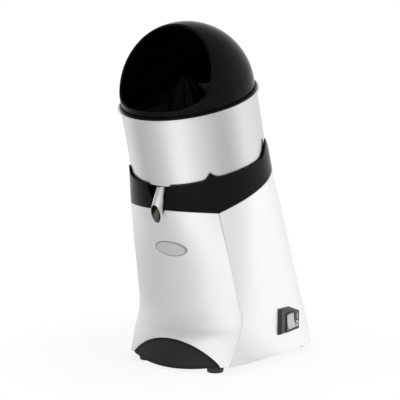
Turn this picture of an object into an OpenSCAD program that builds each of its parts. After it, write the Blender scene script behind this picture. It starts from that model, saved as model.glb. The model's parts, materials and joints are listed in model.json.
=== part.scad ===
/* [Stand] */
// Forward lean of the bowl, motor and body about the upright, degrees
lean_angle = 15; // [10:1:18]
// Height of the bowl rim centre above the table
rim_height = 398; // [380:1:430]
// How far the bowl rim centre stands in front of the middle of the feet
rim_forward = 85; // [75:1:95]
// Height of the lower edge of the body above the table
body_clear = 11; // [9:0.5:14]
// Middle of the feet, to the left of the middle of the whole outline on the table
stand_left = 1.4; // [0:0.1:10]
// Middle of the feet, behind the middle of the whole outline on the table
stand_back = 28.5; // [20:0.1:36]

/* [Bowl] */
// Outer radius of the bowl wall
bowl_r = 100; // [96:0.5:106]
// Depth of the bowl from its rim to its floor
bowl_depth = 102; // [98:0.5:106]
// Thickness of the bowl sheet
sheet = 1.2; // [0.8:0.1:2]
// Width of the flange round the rim of the bowl
rim_flange = 4.2; // [3:0.1:6]
// Bore radius of the chimney round the shaft
chimney_r = 14; // [13.5:0.5:16]
// Height of the chimney above the bowl floor
chimney_h = 52; // [48:1:54]

/* [Spout] */
// Outer diameter of the spout tube
spout_d = 17.5; // [14:0.5:20]
// Wall of the spout tube
spout_wall = 1.2; // [0.8:0.1:2]
// Slope of the spout below the plane of the bowl, degrees
spout_slope = 52; // [48:1:58]
// Distance of the spout mouth from the bowl axis
spout_reach = 115.7; // [112:0.1:124]
// Drop of the centre of the spout mouth below the rim
spout_drop = 138.4; // [134:0.1:142]

/* [Hood] */
// Outer radius of the dome
hood_r = 98.6; // [94:0.1:100]
// Height of the centre of the dome above the rim
hood_rise = 10.9; // [9:0.1:14]
// Wall of the hood
hood_wall = 3; // [2.4:0.1:4]
// Height of the sill of the opening above the rim
sill_h = 11.2; // [10:0.1:16]
// Slope of the cut above the sill, degrees
cut_slope = 57; // [52:1:62]
// Radius of the corner between the sill and the cut
cut_round = 50; // [30:1:60]
// How far the cut meets the dome centre height in front of the axis
cut_forward = 62.3; // [58:0.1:66]

/* [Strainer and reamer] */
// Outer radius of the strainer plate
strainer_r = 92; // [88:0.5:94]
// Drop of the strainer plate below the rim
strainer_drop = 40; // [37:0.5:44]
// Diameter of a hole in the strainer
strainer_hole_d = 6; // [4:0.5:7]
// Radius of the reamer at its base
reamer_r = 40; // [34:0.5:44]
// Height of the ribbed cone
reamer_h = 62; // [54:1:70]
// Number of ribs on the cone
rib_count = 10; // [6:1:12]

/* [Body] */
// Drop of the front corner at the foot of the body below the rim
corner_drop = 368.7; // [360:0.1:380]
// Wall of the cast body shells
wall = 3; // [2.4:0.1:4]
// Seam between neighbouring shells
seam = 0.5; // [0.4:0.05:0.8]
// Width of the ledges inside the body
ledge_w = 16; // [15:0.5:18]
// Thickness of the ledges inside the body
ledge_t = 6; // [5:0.5:8]
// Drop of the upper edge of the collar below the rim
collar_drop = 95.7; // [94:0.1:98]
// Drop of the seam under the collar at the front corners
seam_drop = 146; // [144:0.5:148]
// Rise of that seam at the middle of the front
seam_front_rise = 10; // [6:0.5:12]
// Rise of that seam at the rear
seam_rear_rise = 21; // [16:0.5:24]
// How far the collar's upper edge dips at the middle of the front
front_dip = 4; // [0:0.5:5]
// Height of the front peaks of the collar
front_peak = 9; // [6:0.5:12]
// Height of the rear peaks of the collar
rear_peak = 21; // [14:0.5:24]
// Half width of the toe insert
toe_half = 80.3; // [74:0.1:84]
// Rise of the upper arch of the toe insert
toe_rise = 32.5; // [24:0.5:40]
// Sag of its lower edge
toe_sag = 8; // [4:0.5:9]
// Thickness of the toe insert
toe_t = 7; // [5:0.5:10]

/* [Deck and motor] */
// Drop of the upper face of the motor deck below the rim
deck_drop = 148; // [147:0.5:152]
// Thickness of the motor deck
deck_t = 6; // [5:0.5:8]
// Outer radius of the stator
stator_r = 70; // [66:0.5:72]
// Bore radius of the stator
stator_bore_r = 38.5; // [36:0.5:42]
// Length of the stator stack
stack_len = 66; // [56:1:70]
// Air gap between rotor and stator
air_gap = 0.6; // [0.5:0.05:1]
// Number of stator slots
slot_count = 24; // [12:6:24]
// Radius of the drive shaft in its bearings
shaft_r = 7.5; // [7:0.5:8]
// Radius of the drive shaft in the reamer
tip_r = 6; // [5.5:0.5:6.5]
// Outer radius of a ball bearing
bearing_r = 17.5; // [16:0.5:19]
// Width of a ball bearing
bearing_w = 11; // [9:0.5:12]
// Outer radius of the cooling fan
fan_r = 58; // [50:1:62]
// Number of fan blades
blade_count = 9; // [7:1:11]

/* [Foot and switch] */
// Distance of the feet from the middle, sideways
foot_x = 63.5; // [58:0.5:68]
// Distance of the feet from the middle, front to rear
foot_y = 103; // [96:0.5:108]
// Radius of a rubber foot
foot_r = 13; // [11:0.5:14]
// Thickness of the base plate
plate_t = 3; // [2:0.5:4]
// Length of the switch housing, front to rear
switch_l = 58; // [54:1:64]
// Height of the switch housing
switch_h = 39; // [36:1:44]
// How far the middle of the switch face stands out beyond the bowl's radius
switch_out = 2.2; // [1.5:0.1:5]
// Turn of the switch face towards the rear, degrees
switch_turn = 6; // [0:0.5:8]
// Height of the middle of the switch above the table
switch_z = 60; // [56:1:66]
// Distance of the middle of the switch behind the middle of the feet
switch_y = 33; // [28:1:38]
// Length of the rocker, front to rear
rocker_l = 22; // [18:0.5:24]
// Height of the rocker
rocker_h = 24; // [20:0.5:26]
// Drop of the rocker below the middle of the housing
rocker_drop = 4; // [2:0.5:5]
// Tilt of the rocker to each side, degrees
rocker_tilt = 9; // [7:1:11]

/* [Hidden] */

$fn = 96;
// Overrun of every cut past the face that it opens
over = 2;
// Clearance of a piece seated in or beside another
fit = 0.3;
// Clearance round a screw or a bolt in its hole
screw_fit = 0.1;

// Front corner of the body: share of its drop, then share of the bowl radius
corner_x_shares = [[0.24, 0.752], [0.39, 0.812], [0.55, 0.872], [0.69, 0.912],
                   [0.79, 0.946], [0.86, 0.97], [0.90, 0.969], [1, 0.928], [1.1, 0.886]];
corner_y_shares = [[0.24, 0.705], [0.39, 0.738], [0.55, 0.757], [0.74, 0.777],
                   [0.81, 0.784], [0.85, 0.81], [0.89, 0.90], [1, 1.226], [1.1, 1.52]];
// Bulge of the front in front of its corners, share of the bowl radius
bulge_shares = [[0.24, 0.33], [0.39, 0.311], [0.55, 0.215], [0.69, 0.178],
                [0.76, 0.185], [0.81, 0.235], [0.86, 0.345], [0.90, 0.40], [0.94, 0.37],
                [1, 0.29], [1.1, 0.17]];
// Half width and rear depth of the body, share of the bowl radius
width_shares = [[0.24, 1.035], [0.39, 1.045], [0.68, 1.02], [0.87, 1.005], [1, 1]];
rear_shares = [[0.24, 1.035], [0.39, 1.045], [0.68, 1.04], [1, 1.03]];
// Squareness of the rear corners, 2 for round, and of the side in front of its widest line
rear_powers = [[0.39, 2], [0.45, 2.15], [0.59, 2.45], [0.68, 2.7], [0.87, 3.3], [1.04, 4.3], [1.1, 4.6]];
side_powers = [[0.24, 2.2], [0.39, 2.2], [0.68, 3], [0.87, 4], [1, 5]];
// Levels of the shells between their upper and lower edges
shell_shares = [0, 0.1, 0.2, 0.3, 0.4, 0.5, 0.6, 0.67, 0.725, 0.77, 0.82, 0.88, 0.94, 1];

// Steps of the outline across the front, along one side and round one rear corner
front_n = 24;
side_n = 8;
quad_n = 14;
half_n = side_n + quad_n;
ring_n = front_n + 2 * half_n;

function share_at(table, z) = lookup(-z / corner_drop, table);
function corner_x(z) = bowl_r * share_at(corner_x_shares, z);
function corner_y(z) = bowl_r * share_at(corner_y_shares, z);
function bulge(z) = bowl_r * share_at(bulge_shares, z);

// Point of the front arc, u from -1 at the left corner to 1 at the right one
function front_pt(u, z) =
    let (cx = corner_x(z), b = bulge(z), arc_r = (cx * cx + b * b) / (2 * b))
    [cx * u, -corner_y(z) - b + arc_r - sqrt(arc_r * arc_r - cx * cx * u * u)];

// Point of the right half of the side and rear, i from 0 at the front corner
function half_pt(i, z) =
    let (w = bowl_r * share_at(width_shares, z), f = 1 - i / side_n,
         a = 90 * (i - side_n) / quad_n, e = 2 / share_at(rear_powers, z))
    i < side_n
        ? [w - (w - corner_x(z)) * pow(f, share_at(side_powers, z)), -corner_y(z) * f]
        : [w * pow(max(cos(a), 0), e), bowl_r * share_at(rear_shares, z) * pow(sin(a), e)];

// Outline of the body at height z along the leaning axis, k counts round from the left corner
function ring_pt(k, z) =
    let (i = (k + ring_n) % ring_n, j = i - front_n, h = half_pt(j > half_n ? 2 * half_n - j : j, z))
    i <= front_n ? front_pt(2 * i / front_n - 1, z) : j > half_n ? [-h.x, h.y] : h;

function unit(v) = v / norm(v);
function left_of(v) = [-v.y, v.x];

// The same outline moved inwards by d
function ring_in(k, z, d) =
    let (p = ring_pt(k, z), n1 = left_of(unit(p - ring_pt(k - 1, z))),
         n2 = left_of(unit(ring_pt(k + 1, z) - p)), m = unit(n1 + n2))
    p + m * d / (m * n1);

// Point at inset d, moved by s along the outline towards its neighbour, dir 1 or -1
function wall_pt(k, z, d, s = 0, dir = 1) =
    let (q = ring_in(k, z, d) + s * unit(ring_pt(k + dir, z) - ring_pt(k, z)))
    [q.x, q.y, z];

// Drop of a level plane at height g above the table, where the outline meets it
function on_level(y, g) = (g - rim_height - sin(lean_angle) * y) / cos(lean_angle);
function level_z(k, g, n = 4) =
    n == 0 ? (g - rim_height) / cos(lean_angle) : on_level(ring_pt(k, level_z(k, g, n - 1)).y, g);
function level_pt(k, g, d, s = 0, dir = 1) =
    let (p = wall_pt(k, level_z(k, g), d, s, dir))
    [p.x, p.y, on_level(p.y, g)];

// Direction of an outline point from the front, degrees
function facing(k) = let (p = ring_pt(k, -collar_drop)) abs(atan2(p.x, -p.y));
corner_facing = facing(front_n);
// The rear peaks stand on the outline point nearest to this direction
peak_step = 4;
peak_facing = facing(front_n + side_n + peak_step);
front_peak_spread = 9;
rear_peak_spread = 19;
function peak(a, at, spread, h) = h * pow(max(0, 1 - abs(a - at) / spread), 2);
function collar_top(k) = -collar_drop - front_dip * max(0, 1 - pow(facing(k) / corner_facing, 2))
    + peak(facing(k), corner_facing, front_peak_spread, front_peak)
    + peak(facing(k), peak_facing, rear_peak_spread, rear_peak);
// Seam between the collar and the shells under it
function seam_z(k) =
    let (a = facing(k), t = a < corner_facing ? a / corner_facing : (180 - a) / (180 - corner_facing))
    -seam_drop + (a < corner_facing ? seam_front_rise * (1 - t * t) : seam_rear_rise * (1 - t * t));

// Closed skin over a grid of points: rows of equal length, each row a closed section
module skin(rows, ring = false) {
    n = len(rows);
    m = len(rows[0]);
    last = ring ? n : n - 1;
    sides = [for (i = [0 : last - 1]) for (j = [0 : m - 1])
        let (i2 = (i + 1) % n, j2 = (j + 1) % m)
        each [[i * m + j, i2 * m + j2, i * m + j2], [i * m + j, i2 * m + j, i2 * m + j2]]];
    polyhedron([for (r = rows) each r], concat(sides, ring ? [] : concat(
        section_cap(m, 0, true), section_cap(m, (n - 1) * m, false))), convexity = 8);
}

// Triangles that close an end section whose second half runs back beside its first
function section_cap(m, first, flip) =
    let (half = m / 2)
    [for (j = [0 : half - 2]) let (a = first + j, b = a + 1, c = first + m - 1 - j, d = c - 1)
        each flip ? [[a, b, c], [b, d, c]] : [[a, c, b], [b, c, d]]];

// Frame of the feet, and the leaning frame with its origin in the middle of the bowl's rim
module standing() {
    translate([-stand_left, stand_back, 0]) children();
}

module leaning() {
    standing() translate([0, -rim_forward, rim_height]) rotate([lean_angle, 0, 0]) children();
}

// How far a point of the leaning frame lies behind the middle of the feet
function behind(p) = -rim_forward + cos(lean_angle) * p.y - sin(lean_angle) * p.z;

module tube(r_out, r_in, z1, z2) {
    difference() {
        translate([0, 0, z1]) cylinder(r = r_out, h = z2 - z1);
        translate([0, 0, z1 - over]) cylinder(r = r_in, h = z2 - z1 + 2 * over);
    }
}

module disc(r, z1, z2) {
    translate([0, 0, z1]) cylinder(r = r, h = z2 - z1);
}

// Bowl and spout
floor_z = -bowl_depth;
seat_z = floor_z - sheet;
rim_bead = sheet;

module spout_axis() {
    translate([0, -spout_reach, -spout_drop]) rotate([90 + spout_slope, 0, 0]) children();
}

spout_len = 2 * (spout_drop - bowl_depth) / sin(spout_slope);
spout_r = spout_d / 2;

module spout_rod(r) {
    spout_axis() translate([0, 0, -spout_len]) cylinder(r = r, h = 2 * spout_len);
}

module bowl() {
    color("gainsboro") leaning() difference() {
        union() {
            tube(bowl_r, bowl_r - sheet, seat_z, 0);
            disc(bowl_r, seat_z, floor_z);
            tube(bowl_r + rim_flange - rim_bead, bowl_r - sheet, -sheet, 0);
            translate([0, 0, -rim_bead]) rotate_extrude()
                translate([bowl_r + rim_flange - rim_bead, 0]) circle(r = rim_bead, $fn = 24);
            disc(chimney_r + sheet, seat_z, floor_z + chimney_h);
        }
        disc(chimney_r, seat_z - over, floor_z + chimney_h + over);
        intersection() {
            spout_rod(spout_r - spout_wall);
            disc(bowl_r - sheet, seat_z - over, floor_z + over);
        }
    }
}

module spout_tube() {
    color("silver") leaning() intersection() {
        difference() {
            spout_rod(spout_r);
            spout_rod(spout_r - spout_wall);
        }
        translate([-spout_d, -spout_reach, -2 * spout_drop])
            cube([2 * spout_d, spout_reach, 2 * spout_drop + seat_z]);
    }
}

// Hood
hood_step = 1;
hood_foot_h = 2.6;
hood_spigot_h = 12;
hood_spigot_r = bowl_r - sheet - 2 * fit;
hood_flange_w = 1.2;
hood_flange_r = max(bowl_r, hood_r) + hood_flange_w;

module hood_cut() {
    turn = 180 - cut_slope;
    reach = cut_round / tan(turn / 2);
    corner = [-cut_forward, sill_h];
    centre = corner + [-reach, cut_round];
    top = 2 * hood_r;
    arc = [for (s = [0 : 1 / 12 : 1]) centre + cut_round * [cos(-90 + s * cut_slope), sin(-90 + s * cut_slope)]];
    rise = corner + top * [cos(cut_slope), sin(cut_slope)];
    rotate([90, 0, 90]) linear_extrude(height = 2 * top, center = true)
        polygon(concat([[-top, top], [-top, sill_h]], arc, [rise, [-top, rise.y]]));
}

module hood() {
    inner = hood_r - hood_wall;
    color("#15161a") leaning() difference() {
        union() {
            translate([0, 0, hood_rise]) difference() {
                sphere(r = hood_r);
                sphere(r = inner);
                translate([0, 0, -hood_r]) cube(2 * hood_r, center = true);
            }
            tube(hood_r, inner, hood_foot_h + hood_step, hood_rise);
            tube(hood_r - hood_step, inner, hood_foot_h - over, hood_foot_h + hood_step);
            tube(hood_flange_r, min(inner, hood_spigot_r - hood_wall), fit, hood_foot_h);
            tube(hood_spigot_r, hood_spigot_r - hood_wall, -hood_spigot_h, hood_foot_h);
        }
        hood_cut();
    }
}

// Strainer, standing on the bowl floor
strainer_t = 1.5;
strainer_bore_r = 27;
strainer_rim_h = 9;
leg_r = 3;
leg_count = 4;
hole_ring_first = 38;
hole_ring_step = 12;
hole_rings = 4;
hole_pitch = 12.5;

module strainer() {
    top = -strainer_drop;
    color("#3a3c40") leaning() {
        difference() {
            union() {
                disc(strainer_r, top - strainer_t, top);
                tube(strainer_r, strainer_r - strainer_t, top - strainer_t, top + strainer_rim_h);
                tube(strainer_bore_r + strainer_t, strainer_bore_r, top - 2 * strainer_t, top + strainer_t);
                for (i = [0 : leg_count - 1]) rotate(45 + i * 360 / leg_count)
                    translate([strainer_r - leg_r - strainer_t, 0, floor_z])
                        cylinder(r = leg_r, h = top - floor_z, $fn = 32);
            }
            disc(strainer_bore_r, top - 2 * strainer_t - over, top + strainer_t + over);
            for (ring = [0 : hole_rings - 1]) {
                r = hole_ring_first + ring * hole_ring_step;
                n = 4 * floor(PI * r / 2 / hole_pitch);
                for (i = [0 : n - 1]) rotate((i + 0.5) * 360 / n) translate([r, 0, top - over - strainer_t])
                    cylinder(d = strainer_hole_d, h = strainer_t + 2 * over, $fn = 24);
            }
        }
    }
}

// Reamer, seated on the shaft and driven by the cross pin
reamer_gap = 5;
reamer_base_z = -strainer_drop + reamer_gap;
reamer_lip = 4;
reamer_wall = 3;
hub_r = 13;
pin_r = 2;
pin_len = 2 * chimney_r - 4;
chimney_top = floor_z + chimney_h;
hub_z = chimney_top + 2;
pin_z = hub_z + 3 * pin_r;
rib_w = 4;
rib_stand = 2.5;
tip_round = 7;
// Shares of the cone's height that the hub and the shaft reach up to
hub_share = 0.72;
shaft_share = 0.44;

module reamer_form(r, h, tip) {
    cylinder(r1 = r, r2 = tip, h = h - tip);
    translate([0, 0, h - tip]) sphere(r = tip);
}

module reamer() {
    color("#1d1d20") leaning() difference() {
        union() {
            translate([0, 0, reamer_base_z + reamer_lip]) difference() {
                reamer_form(reamer_r - rib_stand, reamer_h, tip_round);
                translate([0, 0, -over])
                    reamer_form(reamer_r - rib_stand - reamer_wall, reamer_h - tip_round, tip_round);
            }
            tube(reamer_r, reamer_r - rib_stand - reamer_wall, reamer_base_z, reamer_base_z + reamer_lip);
            for (i = [0 : rib_count - 1]) rotate(i * 360 / rib_count)
                translate([0, 0, reamer_base_z + reamer_lip]) rotate([90, 0, 0])
                    translate([0, 0, -rib_w / 2]) linear_extrude(height = rib_w)
                        polygon([[reamer_r - 2 * reamer_wall, 0], [reamer_r, 0],
                                 [tip_round + rib_stand, reamer_h - tip_round],
                                 [tip_round / 2, reamer_h - tip_round / 2],
                                 [tip_round / 2, reamer_h - 3 * tip_round]]);
            disc(hub_r, hub_z, reamer_base_z + hub_share * reamer_h);
        }
        disc(tip_r + fit, hub_z - over, shaft_top + fit);
        translate([-pin_r - fit, -pin_len, hub_z - over])
            cube([2 * (pin_r + fit), 2 * pin_len, pin_z - hub_z + pin_r + fit + over]);
    }
}

// Collar: a skin with a spigot that reaches down inside the shells to the deck
collar_t = 2.2;
spigot_in = wall + 3 * fit;
spigot_t = 3;
deck_z = -deck_drop;
pocket_z = seat_z - 4;
slot_gap = 2.2;
slot_w = spout_d + 2 * slot_gap;

// Path of the spout as the bowl lifts off
module collar_slot() {
    y1 = -spout_reach - over;
    y2 = -bowl_r + 3 * ledge_w / 4;
    spout_rod(spout_r + slot_gap);
    rotate([90, 0, 90]) linear_extrude(height = slot_w, center = true)
        polygon([[y1, spout_z(y1)], [y2, spout_z(y2)], [y2, 0], [y1, 0]]);
}

function spout_z(y) = -spout_drop + (y + spout_reach) * tan(spout_slope);

module collar() {
    rows = [for (k = [0 : ring_n - 1]) let (top = collar_top(k), bottom = seam_z(k)) [
        wall_pt(k, top, 0),
        wall_pt(k, (top + bottom) / 2, 0),
        wall_pt(k, bottom, 0),
        wall_pt(k, bottom, spigot_in),
        wall_pt(k, deck_z, spigot_in),
        wall_pt(k, deck_z, spigot_in + spigot_t),
        wall_pt(k, pocket_z - spigot_t, spigot_in + spigot_t),
        wall_pt(k, pocket_z, collar_t),
        wall_pt(k, top, collar_t)]];
    color("#24262a") leaning() difference() {
        skin(rows, true);
        collar_slot();
    }
}

// Body shells
deck_low = deck_z - deck_t;
plate_low = body_clear + 0.5;
plate_high = plate_low + plate_t;
ledge_high = plate_high + ledge_t;

function shell_row(k, s, dir) = [
    for (t = shell_shares) shell_pt(k, t, 0, s, dir),
    for (t = [len(shell_shares) - 1 : -1 : 0]) shell_pt(k, shell_shares[t], wall, s, dir)];
function shell_top(k) = seam_z(k) - seam;
function shell_pt(k, t, d, s, dir) =
    let (z1 = shell_top(k), z2 = level_z(k, body_clear))
    t == 1 ? level_pt(k, body_clear, d, s, dir) : wall_pt(k, z1 + (z2 - z1) * t, d, s, dir);

// Housing section: the outer skin down, then the inner skin up past both ledges
housing_shares = [0, 0.04, 0.08, 0.12, 0.16, 0.22, 0.32, 0.42, 0.52, 0.61, 0.68, 0.74,
                  0.79, 0.84, 0.88, 0.92, 0.96, 1];
bend_first = 5;
bend_last = 12;
function housing_row(k, w, s, dir) = [
    for (t = housing_shares) shell_pt(k, t, 0, s, dir),
    level_pt(k, body_clear, wall, s, dir),
    level_pt(k, plate_high, wall, s, dir),
    level_pt(k, plate_high, w, s, dir),
    level_pt(k, ledge_high, w, s, dir),
    level_pt(k, ledge_high + ledge_w - wall, wall, s, dir),
    for (i = [bend_last : -1 : bend_first]) shell_pt(k, housing_shares[i], wall, s, dir),
    wall_pt(k, deck_low - ledge_t - ledge_w + wall, wall, s, dir),
    wall_pt(k, deck_low - ledge_t, w, s, dir),
    wall_pt(k, deck_low, w, s, dir),
    wall_pt(k, deck_low, wall, s, dir),
    wall_pt(k, shell_top(k), wall, s, dir)];

module ledge_hole_at(k, low) {
    p = wall_pt(k, deck_z, screw_inset);
    translate([p.x, p.y, low]) children();
}

deck_screw_ks = [front_n + 3, front_n + side_n + 3, front_n + half_n - 5,
                 ring_n - half_n + 5, ring_n - side_n - 3, ring_n - 3];
base_screw_ks = [front_n + 4, front_n + side_n + 3, front_n + half_n - 1,
                 ring_n - half_n + 1, ring_n - side_n - 3, ring_n - 4];
m4_r = 2;
head_r = 3.8;
head_h = 2.6;
screw_inset = spigot_in + spigot_t + head_r + fit;

module at_base_screw(k) {
    p = level_pt(k, plate_low, screw_inset);
    leaning() translate(p) rotate([-lean_angle, 0, 0]) children();
}

module main_housing() {
    rows = [for (k = [front_n : ring_n]) let (end = k == front_n || k == ring_n)
        housing_row(k, end ? wall + seam : ledge_w, end ? seam / 2 : 0, k == front_n ? 1 : -1)];
    color("#dfe1e2") difference() {
        leaning() skin(rows);
        leaning() for (k = deck_screw_ks) ledge_hole_at(k, deck_low - ledge_t)
            cylinder(r = m4_r + screw_fit, h = ledge_t + over, $fn = 32);
        for (k = base_screw_ks) at_base_screw(k) cylinder(r = m4_r + screw_fit, h = plate_t + ledge_t, $fn = 32);
        at_rocker() switch_well(fit);
        gland_axis() cylinder(r = gland_r + fit, h = 8 * wall, center = true);
    }
}

module front_panel() {
    rows = [for (k = [0 : front_n]) shell_row(k,
        k == 0 || k == front_n ? seam / 2 : 0, k == 0 ? 1 : -1)];
    color("#dfe1e2") difference() {
        leaning() skin(rows);
        standing() toe_lens(seam);
        leaning() collar_slot();
    }
}

// Toe insert: a lens between two arcs, seen from the front
toe_edge = body_clear + 0.9;

module toe_arc(rise, grow) {
    r = (toe_half * toe_half + rise * rise) / (2 * rise);
    translate([0, rise - r]) circle(r = r + grow, $fn = 180);
}

module toe_lens(grow) {
    depth = 4 * bowl_r;
    translate([0, 0, toe_edge]) rotate([90, 0, 0]) linear_extrude(height = depth)
        intersection() {
            toe_arc(toe_rise, grow);
            mirror([0, 1]) toe_arc(toe_sag, grow);
        }
}

module toe_insert() {
    low = toe_edge - toe_sag - over;
    high = toe_edge + toe_rise + over;
    levels = 7;
    rows = [for (k = [0 : front_n]) [
        for (i = [0 : levels]) level_pt(k, high + (low - high) * i / levels, fit, 0),
        for (i = [levels : -1 : 0]) level_pt(k, high + (low - high) * i / levels, toe_t, 0)]];
    color("#2e2e30") difference() {
        intersection() {
            leaning() skin(rows);
            standing() toe_lens(0);
        }
        at_feet() cylinder(r = foot_r + fit, h = plate_low);
    }
}

// Badge
badge_w = 58;
badge_h = 23;
badge_t = 1.2;
badge_drop = 201;

// The plate follows the panel behind it level by level
module badge_plate() {
    rows = [for (k = [0 : front_n]) [
        for (t = shell_shares) shell_pt(k, t, -fit - badge_t, 0, 1),
        for (i = [len(shell_shares) - 1 : -1 : 0]) shell_pt(k, shell_shares[i], -fit, 0, 1)]];
    color("#c9ccd0") leaning() intersection() {
        skin(rows);
        translate([0, 0, -badge_drop]) rotate([90, 0, 0]) linear_extrude(height = 2 * bowl_r)
            polygon([for (a = [0 : 7.5 : 352.5]) [badge_w * cos(a), badge_h * sin(a)] / 2]);
    }
}

// Base
module plate_outline(g) {
    polygon([for (k = [0 : ring_n - 1])
        let (p = level_pt(k, g, k > front_n ? wall + seam : toe_t + 2 * fit)) [p.x, behind(p)]]);
}

vent_n = 7;
vent_w = 5;
vent_l = 60;
vent_pitch = 11;

module base_plate() {
    color("#8d9296") difference() {
        standing() translate([0, 0, plate_low]) linear_extrude(height = plate_t) intersection() {
            plate_outline(plate_low);
            plate_outline(plate_high);
        }
        at_feet() translate([0, 0, -over]) cylinder(r = m4_r + screw_fit, h = body_clear * 3);
        for (k = base_screw_ks) at_base_screw(k)
            cylinder(r = m4_r + screw_fit, h = 4 * plate_t, center = true, $fn = 32);
        standing() for (i = [0 : vent_n - 1])
            translate([(i - (vent_n - 1) / 2) * vent_pitch - vent_w / 2, -vent_l, plate_low - over])
                cube([vent_w, vent_l, plate_t + 2 * over]);
    }
}

module base_screws() {
    color("silver") for (k = base_screw_ks) at_base_screw(k) {
        translate([0, 0, -head_h]) cylinder(r = head_r, h = head_h, $fn = 32);
        cylinder(r = m4_r, h = plate_t + ledge_t - over, $fn = 32);
    }
}

module at_feet() {
    standing() for (sx = [-1, 1]) for (sy = [-1, 1]) translate([sx * foot_x, sy * foot_y, 0]) children();
}

foot_bore_r = head_r + 1.5;
foot_floor = 3;
// Wall of the foot's neck, which passes up inside the edge of the body
foot_neck = 3;

module rubber_feet() {
    color("#222224") at_feet() difference() {
        union() {
            cylinder(r1 = foot_r - 1, r2 = foot_r, h = body_clear - fit);
            disc(foot_bore_r + foot_neck, body_clear - fit - over, plate_low);
        }
        translate([0, 0, -over]) cylinder(r = foot_bore_r, h = plate_low - foot_floor + over);
        cylinder(r = m4_r + screw_fit, h = plate_low + over);
    }
}

module foot_screws() {
    color("silver") at_feet() translate([0, 0, plate_low - foot_floor - head_h]) {
        cylinder(r = head_r, h = head_h, $fn = 32);
        cylinder(r = m4_r, h = head_h + foot_floor + plate_t, $fn = 32);
    }
}

// Motor deck and bowl seat
shield_t = 6;
boss_r = bearing_r + 6;
ear_r = 8;
bolt_ring_r = stator_r + ear_r - 1;
bolt_r = 3;
bell_t = 4;
bell_h = 20;
seat_r = 46;
seat_t = 5;
seat_flange_r = 57;
seat_screw_ring = 51.5;
gasket_t = 1.8;

module motor_deck() {
    color("#9aa0a5") leaning() difference() {
        translate([0, 0, deck_low]) linear_extrude(height = deck_t)
            polygon([for (k = [0 : ring_n - 1]) ring_in(k, deck_low, wall + 2 * fit)]);
        disc(boss_r + fit, deck_low - over, deck_z + over);
        at_bolts() disc(bolt_r + screw_fit, deck_low - over, deck_z + over);
        for (k = deck_screw_ks) ledge_hole_at(k, deck_low - over)
            cylinder(r = m4_r + screw_fit, h = deck_t + 2 * over, $fn = 32);
        at_seat_screws() translate([0, 0, deck_low - over])
            cylinder(r = m4_r + screw_fit, h = deck_t + 2 * over, $fn = 32);
    }
}

module deck_screws() {
    color("silver") leaning() for (k = deck_screw_ks) ledge_hole_at(k, 0) {
        disc(head_r, deck_z, deck_z + head_h);
        disc(m4_r, deck_low - ledge_t + over, deck_z);
    }
}

module at_bolts() {
    for (a = [45 : 90 : 315]) rotate(a) translate([bolt_ring_r, 0, 0]) children();
}

module at_seat_screws() {
    for (a = [0 : 90 : 270]) rotate(a) translate([seat_screw_ring, 0, 0]) children();
}

module bowl_seat() {
    top = seat_z - gasket_t;
    color("#b9bdc1") leaning() difference() {
        union() {
            tube(seat_flange_r, seat_r - seat_t, deck_z, deck_z + seat_t);
            tube(seat_r, seat_r - seat_t, deck_z, top);
            disc(seat_r, top - seat_t, top);
        }
        disc(seal_r, top - seat_t - over, top + over);
        at_seat_screws() disc(m4_r + screw_fit, deck_z - over, deck_z + seat_t + over);
    }
}

module seat_screws() {
    color("silver") leaning() at_seat_screws() {
        disc(head_r, deck_z + seat_t, deck_z + seat_t + head_h);
        disc(m4_r, deck_low, deck_z + seat_t);
    }
}

module bowl_gasket() {
    color("#303234") leaning() tube(seat_r, seat_r - seat_t, seat_z - gasket_t, seat_z);
}

// Motor
stack_top = deck_low - bell_h - shield_t;
stack_low = stack_top - stack_len;
// Depth of a bearing below the mouth of its boss, and height of the spring washer over it
bearing_in = 2;
washer_h = 2;
boss_h = bearing_w + 3 * bearing_in;
throat_r = shaft_r + 3;

module shield_form() {
    disc(stator_r, 0, shield_t);
    tube(stator_r, stator_r - bell_t, -bell_h, 0);
    disc(boss_r, -boss_h, 0);
    at_bolts() disc(ear_r, 0, shield_t);
}

vent_count = 8;
vent_r = 6;

module shield_vents() {
    for (i = [0 : vent_count - 1]) rotate((i + 0.5) * 360 / vent_count) translate([stator_r - 3 * bell_t, 0, -over])
        cylinder(r = vent_r, h = shield_t + 2 * over, $fn = 32);
}

module upper_end_shield() {
    color("#aab0b6") leaning() translate([0, 0, deck_low - shield_t]) difference() {
        shield_form();
        disc(throat_r, -boss_h - over, shield_t + over);
        disc(bearing_r, -boss_h - over, -boss_h + bearing_in + bearing_w + washer_h);
        at_bolts() disc(bolt_r + screw_fit, -over, shield_t + over);
        shield_vents();
    }
}

module lower_end_shield() {
    color("#aab0b6") leaning() translate([0, 0, stack_low - bell_h]) mirror([0, 0, 1]) difference() {
        shield_form();
        disc(throat_r, -boss_h - over, shield_t + over);
        disc(bearing_r, -boss_h - over, -boss_h + bearing_in + bearing_w);
        at_bolts() disc(bolt_r + screw_fit, -over, shield_t + over);
        shield_vents();
    }
}

stator_slot_w = 5;
stator_slot_d = 18;
turn_h = 14;
// Depth of the tooth tips in front of the windings
tooth_tip = 3;

module stator_core() {
    color("#6f7478") leaning() difference() {
        tube(stator_r, stator_bore_r, stack_low, stack_top);
        for (i = [0 : slot_count - 1]) rotate(i * 360 / slot_count)
            translate([stator_bore_r - over, -stator_slot_w / 2, stack_low - over])
                cube([stator_slot_d + over, stator_slot_w, stack_len + 2 * over]);
    }
}

module stator_windings() {
    r1 = stator_bore_r + tooth_tip;
    r2 = stator_bore_r + stator_slot_d - fit;
    color("#b5651d") leaning() {
        tube(r2, r1, stack_top + fit, stack_top + turn_h);
        tube(r2, r1, stack_low - turn_h, stack_low - fit);
        for (i = [0 : slot_count - 1]) rotate(i * 360 / slot_count)
            translate([r1 + fit, -stator_slot_w / 2 + fit, stack_low - turn_h / 2])
                cube([r2 - r1 - 2 * fit, stator_slot_w - 2 * fit, stack_len + turn_h]);
    }
}

motor_low = stack_low - bell_h - shield_t;
nut_h = 5;
hex_r = 5.5;

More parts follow.
